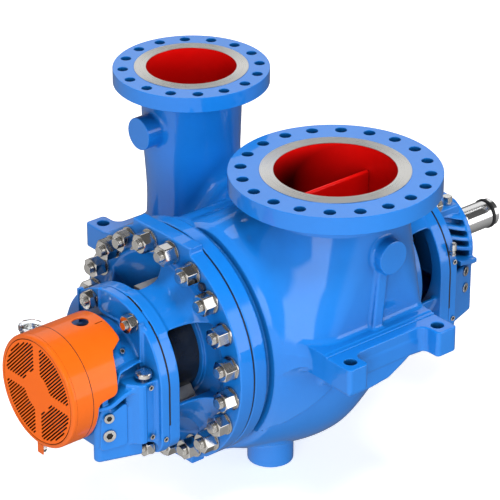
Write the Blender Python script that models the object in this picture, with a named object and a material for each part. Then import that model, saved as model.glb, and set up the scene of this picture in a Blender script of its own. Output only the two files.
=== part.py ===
"""Between-bearings process pump, top suction and top discharge, carried by four feet at its centreline.

All pieces are drawn in pump coordinates: X runs along the shaft towards the drive end, Y towards the discharge
side, Z up, with x = 0 in the plane of both nozzles and y = z = 0 on the shaft. The empty "pump_axis" carries them
and puts the world's origin on the sole of the outboard foot on the suction side. Lengths are metres.
"""
import math

import bmesh
import bpy
from mathutils import Matrix, Vector

# Driving dimensions

GAP = 0.0003            # between pieces that touch
SOLE = Vector((-0.2255, -0.480, 0.017))     # the world's origin, in pump coordinates

# Nozzles, after the class 300 flange tables
SUCTION_Y = -0.212
SUCTION_TOP = 0.466
SUCTION_FLANGE_R = 0.2925
SUCTION_FLANGE_T = 0.053
SUCTION_FACE_R = 0.2064
SUCTION_BORE_R = 0.1675
SUCTION_BOLT_R = 0.2572
SUCTION_HOLE_R = 0.0159
SUCTION_HOLES = 20
SUCTION_NECK_R = 0.200
SUCTION_FLOOR = 0.115

DISCHARGE_Y = 0.402
DISCHARGE_TOP = 0.565
DISCHARGE_FLANGE_R = 0.2225
DISCHARGE_FLANGE_T = 0.0465
DISCHARGE_FACE_R = 0.1619
DISCHARGE_BORE_R = 0.1275
DISCHARGE_BOLT_R = 0.1937
DISCHARGE_HOLE_R = 0.0143
DISCHARGE_HOLES = 16
DISCHARGE_FLOOR = 0.100
RAISED_FACE = 0.0016
HOLE_PHASE = 0.07       # keeps the corners of a round hole off the facets of its flange

# Casing along the shaft: the flange that takes the head, then the barrel, then the inboard end
JOINT_X = -0.386
HEAD_R = 0.334
INBOARD_END = 0.299
INBOARD_END_R = 0.238
SEAL_BORE_R = 0.060
BARREL_SIDES = 40
BARREL_START = -0.320   # the head's flange and the groove behind it stay round
SADDLE_R = 0.306        # radius of the saddle behind the discharge neck
SADDLE_RISE = 0.034     # how much it rises towards the drive end
TUCK = 0.042            # how far the underside is drawn in towards the drive end

# Feet
FOOT_TOP = 0.091
FOOT_SOLE = 0.017
FOOT_OUT = 0.571
FOOT_X = (-0.2615, -0.194, 0.0577, 0.127)
FOOT_HOLES_X = (-0.2255, 0.0885)
FOOT_HOLE_Y = 0.5325
FOOT_HOLE_R = 0.018
FOOT_IN = 0.440         # where the machined soles stop towards the barrel
SOLE_STEP = 0.003       # how far the soles stand below the rail
RAIL_OUT = 0.507

# Head and brackets
HEAD_T = 0.048
PAD_Z = 0.331
PAD_Y = 0.122
DISH_R = 0.258
BRACKET_R = 0.210
BRACKET_SIDE = 0.213
BRACKET_DROP = 0.200
BRACKET_WALL = 0.034
RING_T = 0.035
RING_BORE_R = 0.150
RING_FACE = 0.5125      # from the middle of the machine to each bracket's machined end
MIDDLE_X = -0.0675
GLAND_SEAT_R = 0.172
ARMS = ((96, 140), (201, 229), (274, 320), (2, 27))    # degrees round the shaft, seen from the outboard end

# Bearing housings
PLATE_T = 0.028
OUTBOARD_LENGTH = 0.188
INBOARD_LENGTH = 0.140
BARREL_R = 0.140
SUMP_FLOOR = 0.196
SUMP_WIDE = 0.196
SUMP_NARROW = 0.141
COVER_R = 0.1557

# Shaft and what turns with it
SHAFT_R = 0.041
SHAFT_SEAL_R = 0.045
SHAFT_END = 0.810
FAN_END = -0.842
SNAP_RING_R = 0.0445
HUB_BORE_R = 0.029
KEY_ANGLE = 128
KEY_WIDTH = 0.022

# Guard over the fan
GUARD_R = 0.160
GUARD_SHEET = 0.004
GUARD_FRONT = -0.860

BLUE = (0.03, 0.22, 0.72)


def remove_everything():
    for item in list(bpy.data.objects):
        bpy.data.objects.remove(item, do_unlink=True)


def material(name, colour, roughness, metallic=0.0):
    slot = bpy.data.materials.new(name)
    slot.use_nodes = True
    shader = slot.node_tree.nodes["Principled BSDF"]
    shader.inputs["Base Color"].default_value = (*colour, 1.0)
    shader.inputs["Roughness"].default_value = roughness
    shader.inputs["Metallic"].default_value = metallic
    return slot


def place(name, bm, slot, parent, smooth=True):
    """Turns a bmesh into a named object under its parent."""
    bmesh.ops.recalc_face_normals(bm, faces=bm.faces)
    mesh = bpy.data.meshes.new(name)
    bm.to_mesh(mesh)
    bm.free()
    if slot:
        mesh.materials.append(slot)
    if smooth:
        mesh.shade_smooth()
        mesh.set_sharp_from_angle(angle=math.radians(35))
    item = bpy.data.objects.new(name, mesh)
    bpy.context.scene.collection.objects.link(item)
    item.parent = parent
    return item


def guide(bm, parent):
    """A cutter, or a form that a Boolean joins to another: it isn't a piece of its own."""
    item = place("guide", bm, None, parent, smooth=False)
    item.hide_render = True
    item.display_type = "WIRE"
    return item


def boolean(item, other, operation):
    step = item.modifiers.new(operation.lower(), "BOOLEAN")
    step.object = other
    step.operation = operation
    step.solver = "EXACT"


# Basic solids, each one closed bmesh

def turned(profile, segments=32, turn=Matrix(), phase=0.0):
    """Solid of revolution about Z from (radius, z) points; a profile off the axis makes a ring.

    A flat end, where the profile starts or stops on the axis, is one face.
    """
    bm = bmesh.new()
    profile = list(profile)
    flat_start = profile[0][0] == 0 and profile[0][1] == profile[1][1]
    flat_end = profile[-1][0] == 0 and profile[-1][1] == profile[-2][1]
    if flat_start:
        profile = profile[1:]
    if flat_end:
        profile = profile[:-1]
    rings = []
    for radius, z in profile:
        ring = []
        for k in range(segments):
            angle = 2 * math.pi * k / segments + phase
            ring.append(bm.verts.new((radius * math.cos(angle), radius * math.sin(angle), z)))
        rings.append(ring)
    pairs = list(zip(rings, rings[1:]))
    if flat_start and flat_end:
        bm.faces.new(rings[0])
        bm.faces.new(rings[-1])
    else:
        pairs.append((rings[-1], rings[0]))
    for low, high in pairs:
        for k in range(segments):
            n = (k + 1) % segments
            bm.faces.new((low[k], low[n], high[n], high[k]))
    bmesh.ops.transform(bm, matrix=turn, verts=bm.verts)
    return bm


def about_shaft(profile, segments=32):
    """Solid of revolution about the shaft from (x, radius) points."""
    turn = Matrix.Rotation(math.radians(90), 4, "Y")
    return turned([(radius, x) for x, radius in profile], segments, turn)


def upright(profile, x, y, segments=32, phase=0.0):
    """Solid of revolution about a vertical line from (radius, z) points."""
    return turned(profile, segments, Matrix.Translation((x, y, 0)), phase)


def rod(radius, start, end, segments=24):
    """Plain cylinder between two points."""
    start = Vector(start)
    along = Vector(end) - start
    turn = Matrix.Translation(start) @ along.to_track_quat("Z", "Y").to_matrix().to_4x4()
    profile = ((0, 0), (radius, 0), (radius, along.length), (0, along.length))
    return turned(profile, segments, turn)


def prism(outline, low, high, axis="Z"):
    """Straight solid on a closed outline: (x, y) for Z, (y, z) for X."""
    bm = bmesh.new()
    if axis == "Z":
        bottom = [bm.verts.new((a, b, low)) for a, b in outline]
        top = [bm.verts.new((a, b, high)) for a, b in outline]
    else:
        bottom = [bm.verts.new((low, a, b)) for a, b in outline]
        top = [bm.verts.new((high, a, b)) for a, b in outline]
    bm.faces.new(bottom)
    bm.faces.new(top)
    for k in range(len(outline)):
        n = (k + 1) % len(outline)
        bm.faces.new((bottom[k], bottom[n], top[n], top[k]))
    return bm


def block(low, high):
    outline = ((low[0], low[1]), (high[0], low[1]), (high[0], high[1]), (low[0], high[1]))
    return prism(outline, low[2], high[2])


def merged(parts):
    """Several solids that don't touch, as one bmesh."""
    whole = bmesh.new()
    for part in parts:
        mesh = bpy.data.meshes.new("part")
        part.to_mesh(mesh)
        part.free()
        whole.from_mesh(mesh)
        bpy.data.meshes.remove(mesh)
    return whole


def bolt_holes(count, circle_r, hole_r, y, low, high, phase):
    """The holes of a flange round a vertical nozzle."""
    holes = []
    for k in range(count):
        angle = 2 * math.pi * k / count + phase
        x = circle_r * math.cos(angle)
        holes.append(upright(((0, low), (hole_r, low), (hole_r, high), (0, high)),
                             x, y + circle_r * math.sin(angle), 10, HOLE_PHASE))
    return merged(holes)


def loft(sections):
    """Closed skin over rings of equally many points."""
    bm = bmesh.new()
    rings = [[bm.verts.new(point) for point in section] for section in sections]
    for low, high in zip(rings, rings[1:]):
        for k in range(len(low)):
            n = (k + 1) % len(low)
            bm.faces.new((low[k], low[n], high[n], high[k]))
    bm.faces.new(rings[0])
    bm.faces.new(rings[-1])
    return bm


def rounded_section(centre, half, power, z, count=32):
    """Ring between an ellipse (power 2) and a rectangle (high power)."""
    ring = []
    for k in range(count):
        angle = 2 * math.pi * k / count
        c, s = math.cos(angle), math.sin(angle)
        scale = (abs(c) ** power + abs(s) ** power) ** (-1 / power)
        ring.append((centre[0] + half[0] * scale * c, centre[1] + half[1] * scale * s, z))
    return ring


# Casing

def ramp(value, start, end):
    """Smooth rise from 0 at start to 1 at end."""
    t = min(max((value - start) / (end - start), 0.0), 1.0)
    return t * t * (3 - 2 * t)


def barrel_radius(x, radius, degrees):
    """Round radius, less the saddle behind the discharge neck and the tuck under the drive end."""
    behind = (degrees + 60) % 360
    saddle = max(radius - SADDLE_R - SADDLE_RISE * ramp(x, -0.095, -0.020), 0.0)
    saddle *= ramp(behind, 45, 75) * (1 - ramp(behind, 135, 168))
    tuck = TUCK * ramp(x, -0.050, 0.090) * (1 - ramp(x, 0.170, 0.280)) * ramp(degrees, 186, 230)
    return radius - saddle - tuck * (1 - ramp(degrees, 300, 340))


def barrel():
    """Rings along the shaft, angles counted from the discharge side through the top."""
    profile = (
        (JOINT_X, HEAD_R), (-0.342, HEAD_R), (-0.338, 0.317), (-0.324, 0.317), (-0.315, 0.340),
        (-0.300, 0.352), (-0.240, 0.374), (-0.174, 0.391), (-0.123, 0.400), (-0.098, 0.402), (-0.073, 0.403),
        (-0.048, 0.402), (-0.025, 0.399), (-0.002, 0.395), (0.028, 0.387), (0.057, 0.377), (0.086, 0.361),
        (0.116, 0.342), (0.170, 0.300), (0.225, 0.262), (0.265, 0.244), (INBOARD_END, INBOARD_END_R))
    rings = []
    for x, radius in profile:
        ring = []
        for k in range(BARREL_SIDES):
            degrees = 360 * k / BARREL_SIDES
            r = radius if x < BARREL_START else barrel_radius(x, radius, degrees)
            angle = math.radians(degrees)
            ring.append((x, r * math.cos(angle), r * math.sin(angle)))
        rings.append(ring)
    return loft(rings)


def suction_chamber():
    """From a square base over the foot rail to the round neck below the flange."""
    top = SUCTION_TOP - SUCTION_FLANGE_T + 0.013
    levels = (
        (0.040, (-0.062, -0.200), (0.196, 0.275), 6.0),
        (0.110, (-0.062, -0.200), (0.194, 0.268), 5.0),
        (0.190, (-0.034, -0.205), (0.206, 0.244), 3.0),
        (0.290, (-0.010, SUCTION_Y), (0.203, 0.212), 2.2),
        (0.360, (0.0, SUCTION_Y), (SUCTION_NECK_R, SUCTION_NECK_R), 2.0),
        (top, (0.0, SUCTION_Y), (SUCTION_NECK_R + 0.004, SUCTION_NECK_R + 0.004), 2.0),
    )
    return loft([rounded_section(centre, half, power, z) for z, centre, half, power in levels])


def discharge_neck():
    """From the volute's side up to the flange."""
    top = DISCHARGE_TOP - DISCHARGE_FLANGE_T + 0.010
    levels = (
        (-0.310, (-0.060, 0.170), (0.090, 0.090), 2.0),
        (-0.200, (-0.050, 0.262), (0.130, 0.120), 2.0),
        (-0.060, (-0.030, 0.350), (0.145, 0.135), 2.0),
        (0.060, (-0.010, 0.392), (0.138, 0.130), 2.0),
        (0.150, (0.0, DISCHARGE_Y), (0.131, 0.131), 2.0),
        (0.312, (0.0, DISCHARGE_Y), (0.138, 0.138), 2.0),
        (top, (0.0, DISCHARGE_Y), (0.147, 0.147), 2.0),
    )
    return loft([rounded_section(centre, half, power, z) for z, centre, half, power in levels])


def flange(y, top, thick, radius, face_r):
    low = top - thick
    return upright(((0, low), (radius, low), (radius, top - RAISED_FACE), (face_r, top - RAISED_FACE),
                    (face_r, top), (0, top)), 0, y, 40)


def foot_rail(side):
    """Rail along the casing with a lug at each end; side is -1 for suction, 1 for discharge."""
    a, b, c, d = FOOT_X
    inner = 0.250       # inside the barrel
    outline = ((a, inner), (a, FOOT_OUT), (b, FOOT_OUT), (b + 0.006, 0.531), (b + 0.016, 0.516),
               (b + 0.030, RAIL_OUT), (c - 0.030, RAIL_OUT), (c - 0.010, 0.514), (c, 0.528), (c, FOOT_OUT),
               (d, FOOT_OUT), (d, inner))
    return prism([(x, side * y) for x, y in outline], FOOT_SOLE + SOLE_STEP, FOOT_TOP)


def soles():
    """Machined undersides of the four feet."""
    a, b, c, d = FOOT_X
    edge = 0.001
    beside_skirt = 0.013
    pads = []
    for outer, inner, turn in ((a, b, 1), (d, c, -1)):
        outline = ((outer + turn * edge, FOOT_IN), (outer + turn * edge, FOOT_OUT - edge),
                   (inner - turn * edge, FOOT_OUT - edge), (inner - turn * edge, RAIL_OUT),
                   (inner - turn * beside_skirt, RAIL_OUT), (inner - turn * beside_skirt, FOOT_IN))
        for side in (-1, 1):
            pads.append(prism([(x, side * y) for x, y in outline], FOOT_SOLE, FOOT_SOLE + 2 * SOLE_STEP))
    return merged(pads)


def foot_skirt(side):
    """Wall that carries the rail down on to the barrel between the lugs."""
    ends = ((FOOT_X[1] - 0.010, 0.030), (FOOT_X[2] + 0.010, 0.030))
    outline = (
        (ends[0][0], 0.030), (ends[0][0] + 0.010, -0.060), (-0.120, -0.078), (-0.060, -0.066), (-0.014, -0.034),
        (0.012, -0.006), (0.042, 0.004), (ends[1][0], 0.010), (ends[1][0], 0.030))
    bm = bmesh.new()
    near = [bm.verts.new((x, side * 0.300, z)) for x, z in outline]
    far = [bm.verts.new((x, side * (RAIL_OUT - 0.004), z)) for x, z in outline]
    bm.faces.new(near)
    bm.faces.new(far)
    for k in range(len(outline)):
        n = (k + 1) % len(outline)
        bm.faces.new((near[k], near[n], far[n], far[k]))
    return bm


def suction_pocket():
    """Inside of the suction nozzle, left either side of the splitter vane."""
    top = SUCTION_TOP + 0.020
    hollow = upright(((0, SUCTION_FLOOR), (0.140, SUCTION_FLOOR), (SUCTION_BORE_R, SUCTION_FLOOR + 0.040),
                      (SUCTION_BORE_R, top), (0, top)), 0, SUCTION_Y, 32)
    return hollow


def splitter_vane():
    """Plate along the shaft that stands across the suction bore, its nose rounded."""
    half = 0.0075
    nose = 0.398
    y = -0.164
    outline = [(y - half, SUCTION_FLOOR - 0.020), (y + half, SUCTION_FLOOR - 0.020)]
    for k in range(5):
        angle = math.pi * k / 4
        outline.append((y + half * math.cos(angle), nose - half + half * math.sin(angle)))
    return prism(outline, -0.175, 0.175, "X")


def casing(slot, parent):
    item = place("casing", barrel(), slot, parent)
    forms = [
        suction_chamber(),
        discharge_neck(),
        flange(SUCTION_Y, SUCTION_TOP, SUCTION_FLANGE_T, SUCTION_FLANGE_R, SUCTION_FACE_R),
        flange(DISCHARGE_Y, DISCHARGE_TOP, DISCHARGE_FLANGE_T, DISCHARGE_FLANGE_R, DISCHARGE_FACE_R),
        foot_rail(-1), foot_rail(1), soles(), foot_skirt(-1), foot_skirt(1),
        rod(0.0475, (-0.193, DISCHARGE_Y, 0.409), (-0.080, DISCHARGE_Y, 0.409), 32),
        rod(0.046, (0, -0.450, 0.291), (0, -0.300, 0.291), 32),
        block((-0.014, -0.452, 0.060), (0.014, -0.330, 0.280)),
        rod(0.0655, (-0.135, -0.105, -0.430), (-0.135, -0.105, -0.300), 32),
        block((JOINT_X + 0.001, -PAD_Y, -PAD_Z), (-0.238, PAD_Y, -0.260)),
    ]
    for form in forms:
        boolean(item, guide(form, parent), "UNION")
    high = 0.030
    cuts = [
        suction_pocket(),
        upright(((0, DISCHARGE_FLOOR), (0.100, DISCHARGE_FLOOR), (DISCHARGE_BORE_R, DISCHARGE_FLOOR + 0.030),
                 (DISCHARGE_BORE_R, DISCHARGE_TOP + high), (0, DISCHARGE_TOP + high)), 0, DISCHARGE_Y, 32),
        bolt_holes(SUCTION_HOLES, SUCTION_BOLT_R, SUCTION_HOLE_R, SUCTION_Y,
                   SUCTION_TOP - SUCTION_FLANGE_T - high, SUCTION_TOP + high, math.radians(9)),
        bolt_holes(DISCHARGE_HOLES, DISCHARGE_BOLT_R, DISCHARGE_HOLE_R, DISCHARGE_Y,
                   DISCHARGE_TOP - DISCHARGE_FLANGE_T - high, DISCHARGE_TOP + high, math.radians(11.25)),
        merged([rod(FOOT_HOLE_R, (x, side * FOOT_HOLE_Y, FOOT_SOLE - high), (x, side * FOOT_HOLE_Y, FOOT_TOP + high))
                for x in FOOT_HOLES_X for side in (-1, 1)]),
        rod(SEAL_BORE_R, (JOINT_X - high, 0, 0), (INBOARD_END + high, 0, 0), 32),
    ]
    for cut in cuts:
        boolean(item, guide(cut, parent), "DIFFERENCE")
    boolean(item, guide(splitter_vane(), parent), "UNION")
    return item


# Head and lantern brackets

def mirror_x(bm):
    """Turns an outboard form into the inboard one, across the middle of the machine."""
    bmesh.ops.transform(bm, matrix=Matrix.Translation((2 * MIDDLE_X, 0, 0)) @ Matrix.Scale(-1, 4, (1, 0, 0)),
                        verts=bm.verts)
    bmesh.ops.reverse_faces(bm, faces=bm.faces)
    return bm


def head_outline():
    """Circle with the flat pads at top and bottom."""
    corner = math.asin(PAD_Y / HEAD_R)
    points = []
    for start, end in ((-math.pi / 2 + corner, math.pi / 2 - corner),
                       (math.pi / 2 + corner, 3 * math.pi / 2 - corner)):
        for k in range(21):
            angle = start + (end - start) * k / 20
            points.append((HEAD_R * math.cos(angle), HEAD_R * math.sin(angle)))
        side = 1 if start < 0 else -1
        points.append((side * PAD_Y, side * PAD_Z))
        points.append((-side * PAD_Y, side * PAD_Z))
    return points


def tombstone(radius, side, drop, corner=0.045):
    """Half circle over straight sides with rounded lower corners, as (y, z)."""
    points = [(radius * math.cos(math.pi * k / 24), radius * math.sin(math.pi * k / 24)) for k in range(25)]
    points[0] = (side, 0.0)
    points[-1] = (-side, 0.0)
    for k in range(5):
        angle = math.pi + math.pi / 2 * k / 4
        points.append((-side + corner + corner * math.cos(angle), -drop + corner + corner * math.sin(angle)))
    for k in range(5):
        angle = 1.5 * math.pi + math.pi / 2 * k / 4
        points.append((side - corner + corner * math.cos(angle), -drop + corner + corner * math.sin(angle)))
    return points


def window_wedges(root, arms):
    """Cutters between the arms, from the ring to the arms' root."""
    ring = MIDDLE_X - RING_FACE + RING_T
    wedges = []
    order = sorted(arms)
    for k, (_, end) in enumerate(order):
        start = order[(k + 1) % len(order)][0]
        if start < end:
            start += 360
        outline = []
        for step in range(5):
            angle = math.radians(end + (start - end) * step / 4)
            outline.append((0.40 * math.cos(angle), 0.40 * math.sin(angle)))
        for step in range(5):
            angle = math.radians(start + (end - start) * step / 4)
            outline.append((0.12 * math.cos(angle), 0.12 * math.sin(angle)))
        wedges.append(prism(outline, ring - 0.003, root, "X"))
    return merged(wedges)


def lantern_shell(flare):
    """Wall of the lantern before its windows are cut: (x, radius) along the outboard bracket."""
    ring = MIDDLE_X - RING_FACE + RING_T
    inner = BRACKET_R - BRACKET_WALL
    return about_shaft([*flare, (-0.485, 0.211), (ring - 0.010, BRACKET_R - 0.002), (ring - 0.010, inner),
                        (flare[0][0], inner)], 32)


def lantern_ring():
    end = MIDDLE_X - RING_FACE
    ring = prism(tombstone(BRACKET_R, BRACKET_SIDE, BRACKET_DROP), end, end + RING_T, "X")
    return ring


def ring_bore():
    end = MIDDLE_X - RING_FACE
    return about_shaft(((end - 0.02, 0), (end - 0.02, RING_BORE_R), (end + RING_T + 0.02, RING_BORE_R),
                        (end + RING_T + 0.02, 0)), 32)


def outboard_head(slot, parent):
    """Cover with its seal chamber, and the lantern bracket cast on it."""
    inner_face = JOINT_X - GAP
    face = JOINT_X - HEAD_T
    item = place("outboard_head", prism(head_outline(), face, inner_face, "X"), slot, parent)
    dish = about_shaft(((face - 0.010, 0), (face - 0.010, DISH_R), (face, DISH_R), (face + 0.006, 0.252),
                        (face + 0.024, 0.205), (face + 0.026, 0.180), (face + 0.026, 0)), 32)
    boolean(item, guide(dish, parent), "DIFFERENCE")
    boolean(item, guide(rod(SEAL_BORE_R, (face - 0.02, 0, 0), (JOINT_X + 0.02, 0, 0), 32), parent), "DIFFERENCE")
    flare = ((face + 0.030, 0.264), (face, 0.264), (face - 0.008, 0.243), (face - 0.026, 0.222))
    arms = guide(lantern_shell(flare), parent)
    boolean(arms, guide(window_wedges(face + 0.040, ARMS), parent), "DIFFERENCE")
    ring = guide(lantern_ring(), parent)
    boolean(item, arms, "UNION")
    boolean(item, ring, "UNION")
    boolean(item, guide(ring_bore(), parent), "DIFFERENCE")
    return item


def inboard_bracket(slot, parent):
    """Lantern bracket bolted to the casing's inboard end."""
    face = 2 * MIDDLE_X - INBOARD_END - GAP
    flange_t = 0.022
    foot = about_shaft(((face, 0), (face, INBOARD_END_R), (face - flange_t, INBOARD_END_R),
                        (face - flange_t, 0)), 32)
    item = place("inboard_bracket", mirror_x(foot), slot, parent)
    seat = rod(GLAND_SEAT_R, (INBOARD_END - 0.02, 0, 0), (INBOARD_END + 0.05, 0, 0), 32)
    boolean(item, guide(seat, parent), "DIFFERENCE")
    flare = ((face - 0.004, 0.234), (face - flange_t, 0.234), (face - flange_t - 0.008, 0.222),
             (face - flange_t - 0.020, 0.215))
    arms = guide(mirror_x(lantern_shell(flare)), parent)
    boolean(arms, guide(mirror_x(window_wedges(face - flange_t + 0.003, ARMS)), parent), "DIFFERENCE")
    boolean(item, arms, "UNION")
    boolean(item, guide(mirror_x(lantern_ring()), parent), "UNION")
    boolean(item, guide(mirror_x(ring_bore()), parent), "DIFFERENCE")
    return item


# Bearing housings

def sump(length, top):
    """Oil sump that narrows away from the plate; outboard form."""
    start = MIDDLE_X - RING_FACE - 0.010
    end = MIDDLE_X - RING_FACE - length
    outline = ((start, -SUMP_WIDE), (end + 0.012, -SUMP_NARROW), (end, -SUMP_NARROW + 0.014),
               (end, SUMP_NARROW - 0.014), (end + 0.012, SUMP_NARROW), (start, SUMP_WIDE))
    return prism(outline, -SUMP_FLOOR, top)


def shoulder():
    """Raised chamber beside the plate that carries the oil filler, both sides; outboard form."""
    start = MIDDLE_X - RING_FACE - 0.010
    outline = ((start, -0.192), (start - 0.064, -0.170), (start - 0.064, 0.170), (start, 0.192))
    return prism(outline, -0.060, 0.028)


def outboard_housing(slot, parent):
    end = MIDDLE_X - RING_FACE
    plate = prism(tombstone(BRACKET_R, BRACKET_SIDE, BRACKET_DROP), end - GAP - PLATE_T, end - GAP, "X")
    item = place("outboard_bearing_housing", plate, slot, parent)
    body = about_shaft(((end + 0.006, 0), (end + 0.006, RING_BORE_R - GAP), (end - 0.010, RING_BORE_R - GAP),
                        (end - 0.060, 0.146), (end - 0.080, BARREL_R), (end - OUTBOARD_LENGTH + 0.013, BARREL_R),
                        (end - OUTBOARD_LENGTH + 0.013, 0)), 32)
    ribs = [block((end - 0.062, -0.006, 0.120), (end - 0.020, 0.006, 0.200))]
    for form in [body, sump(OUTBOARD_LENGTH, -0.006), shoulder(), *ribs]:
        boolean(item, guide(form, parent), "UNION")
    bore = rod(SHAFT_R + GAP, (end + 0.05, 0, 0), (end - 0.30, 0, 0), 32)
    boolean(item, guide(bore, parent), "DIFFERENCE")
    return item


def inboard_housing(slot, parent):
    end = MIDDLE_X - RING_FACE
    plate = prism(tombstone(BRACKET_R, BRACKET_SIDE, BRACKET_DROP), end - GAP - PLATE_T, end - GAP, "X")
    item = place("inboard_bearing_housing", mirror_x(plate), slot, parent)
    body = about_shaft(((end + 0.006, 0), (end + 0.006, RING_BORE_R - GAP), (end - 0.010, RING_BORE_R - GAP),
                        (end - 0.060, 0.126), (end - INBOARD_LENGTH, 0.126), (end - INBOARD_LENGTH, 0)), 32)
    forms = [body, sump(INBOARD_LENGTH + 0.015, -0.012)]
    for z in (0.112, 0.082, 0.052, 0.022):
        reach = math.sqrt(0.149 ** 2 - z ** 2)
        forms.append(block((end - INBOARD_LENGTH, -reach, z - 0.005), (end - 0.020, reach, z + 0.005)))
    for form in forms:
        boolean(item, guide(mirror_x(form), parent), "UNION")
    bore = rod(SHAFT_SEAL_R + GAP, (INBOARD_END, 0, 0), (0.70, 0, 0), 32)
    boolean(item, guide(bore, parent), "DIFFERENCE")
    return item


# Covers, seals and fittings

def ring_piece(name, x0, x1, outer, inner, slot, parent, segments=32, chamfer=0.002):
    """Turned ring on the shaft's axis with a small chamfer on its outer corners."""
    low, high = sorted((x0, x1))
    profile = ((low, inner), (low, outer - chamfer), (low + chamfer, outer), (high - chamfer, outer),
               (high, outer - chamfer), (high, inner))
    return place(name, about_shaft(profile, segments), slot, parent)


def end_covers(slot, parent):
    """Discs that close the two bearing housings round the shaft."""
    out_end = MIDDLE_X - RING_FACE - OUTBOARD_LENGTH
    ring_piece("outboard_bearing_cover", out_end - GAP, out_end - 0.016, COVER_R, SHAFT_R + GAP, slot, parent, 40)
    in_end = MIDDLE_X + RING_FACE + INBOARD_LENGTH + 0.015
    ring_piece("inboard_bearing_cover", in_end + GAP, in_end + 0.014, 0.150, SHAFT_R + GAP, slot, parent, 32)


def seals(black, steel, parent):
    """Gland of each shaft seal with the flush port on it, and the collar and deflector that turn."""
    root = JOINT_X - HEAD_T + 0.026
    far = 2 * MIDDLE_X
    for end, turn in (("outboard", 1), ("inboard", -1)):
        seat = root if turn == 1 else far - INBOARD_END
        seat = seat - GAP

        def at(x):
            return x if turn == 1 else far - x

        gland = [(at(x), r) for x, r in (
            (seat, 0.0505), (seat, 0.163), (seat - 0.004, 0.167), (seat - 0.022, 0.167), (seat - 0.027, 0.162),
            (seat - 0.030, 0.142), (seat - 0.096, 0.142), (seat - 0.100, 0.138), (seat - 0.104, 0.130),
            (seat - 0.104, 0.0505))]
        place(end + "_seal_gland", about_shaft(gland, 32), black, parent)
        low, high = sorted((at(seat - 0.094), at(seat - 0.036)))
        port = place(end + "_seal_port", block((low, -0.022, 0.1395), (high, 0.022, 0.170)), steel, parent, False)
        boolean(port, guide(rod(0.142 + GAP, (low - 0.01, 0, 0), (high + 0.01, 0, 0), 32), parent), "DIFFERENCE")
        tip = seat - 0.104
        ring_piece(end + "_seal_collar", at(tip - 0.006), at(tip - 0.017), 0.060, SHAFT_SEAL_R + GAP, steel, parent)
        ring_piece(end + "_deflector", at(tip - 0.020), at(tip - 0.028), 0.075, SHAFT_SEAL_R + GAP, black, parent)


def shaft(slot, parent):
    item = place("shaft", about_shaft((
        (FAN_END, 0), (FAN_END, HUB_BORE_R - GAP), (-0.800, HUB_BORE_R - GAP), (-0.800, 0.034), (-0.790, SHAFT_R),
        (-0.569, SHAFT_R), (-0.566, SHAFT_SEAL_R), (0.435, SHAFT_SEAL_R), (0.440, SHAFT_R), (0.784, SHAFT_R),
        (0.784, SNAP_RING_R), (0.7935, SNAP_RING_R), (0.7935, SHAFT_R), (0.806, SHAFT_R), (SHAFT_END, 0.037),
        (SHAFT_END, 0)), 32), slot, parent)
    angle = math.radians(KEY_ANGLE)
    keyway = block((0.640, -KEY_WIDTH / 2, SHAFT_R - 0.009), (0.776, KEY_WIDTH / 2, SHAFT_R + 0.010))
    bmesh.ops.transform(keyway, matrix=Matrix.Rotation(angle - math.pi / 2, 4, "X"), verts=keyway.verts)
    boolean(item, guide(keyway, parent), "DIFFERENCE")
    return item


def fan(slot, parent):
    """Cooling fan on the outboard shaft end: hub, backplate and eight straight blades."""
    hub = about_shaft(((-0.838, HUB_BORE_R), (-0.838, 0.048), (-0.815, 0.052), (-0.811, 0.125), (-0.807, 0.125),
                       (-0.807, HUB_BORE_R)), 32)
    item = place("cooling_fan", hub, slot, parent)
    blades = []
    for k in range(8):
        blade = block((-0.838, -0.0025, 0.060), (-0.809, 0.0025, 0.122))
        bmesh.ops.transform(blade, matrix=Matrix.Rotation(math.pi * k / 4, 4, "X"), verts=blade.verts)
        blades.append(blade)
    boolean(item, guide(merged(blades), parent), "UNION")


def guard(slot, parent):
    """Sheet drum over the fan, its slotted front, and the tab below it."""
    back = -0.653
    inner = GUARD_R - GUARD_SHEET
    drum = place("guard_drum", about_shaft((
        (GUARD_FRONT + 0.006, inner), (GUARD_FRONT + 0.006, GUARD_R - 0.003), (GUARD_FRONT + 0.009, GUARD_R),
        (back, GUARD_R), (back, inner)), 40), slot, parent)
    lower = block((-0.774, -0.20, -0.20), (-0.60, 0.20, 0.004))
    sides = merged([block((-0.704, -0.20, -0.01), (-0.60, -0.104, 0.20)),
                    block((-0.704, 0.104, -0.01), (-0.60, 0.20, 0.20))])
    hole = rod(0.024, (-0.712, 0, 0.10), (-0.712, 0, 0.20), 24)
    for cut in (lower, sides, hole):
        boolean(drum, guide(cut, parent), "DIFFERENCE")
    front = place("guard_front", about_shaft((
        (GUARD_FRONT, 0), (GUARD_FRONT, GUARD_R - 0.010), (GUARD_FRONT + 0.003, GUARD_R - 0.004),
        (GUARD_FRONT + 0.006 - GAP, GUARD_R - 0.003), (GUARD_FRONT + 0.006 - GAP, 0)), 40), slot, parent)
    return drum, front


def guard_tab(slot, parent):
    edge = GUARD_R + GAP
    outline = ((GUARD_FRONT + 0.004, -edge - 0.030), (GUARD_FRONT + 0.008, -edge - 0.030),
               (GUARD_FRONT + 0.008, -edge - 0.004), (GUARD_FRONT + 0.045, -edge - 0.004),
               (GUARD_FRONT + 0.045, -edge), (GUARD_FRONT + 0.004, -edge))
    bm = bmesh.new()
    near = [bm.verts.new((x, -0.012, z)) for x, z in outline]
    far = [bm.verts.new((x, 0.012, z)) for x, z in outline]
    bm.faces.new(near)
    bm.faces.new(far)
    for k in range(len(outline)):
        n = (k + 1) % len(outline)
        bm.faces.new((near[k], near[n], far[n], far[k]))
    return place("guard_tab", bm, slot, parent, smooth=False)


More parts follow.
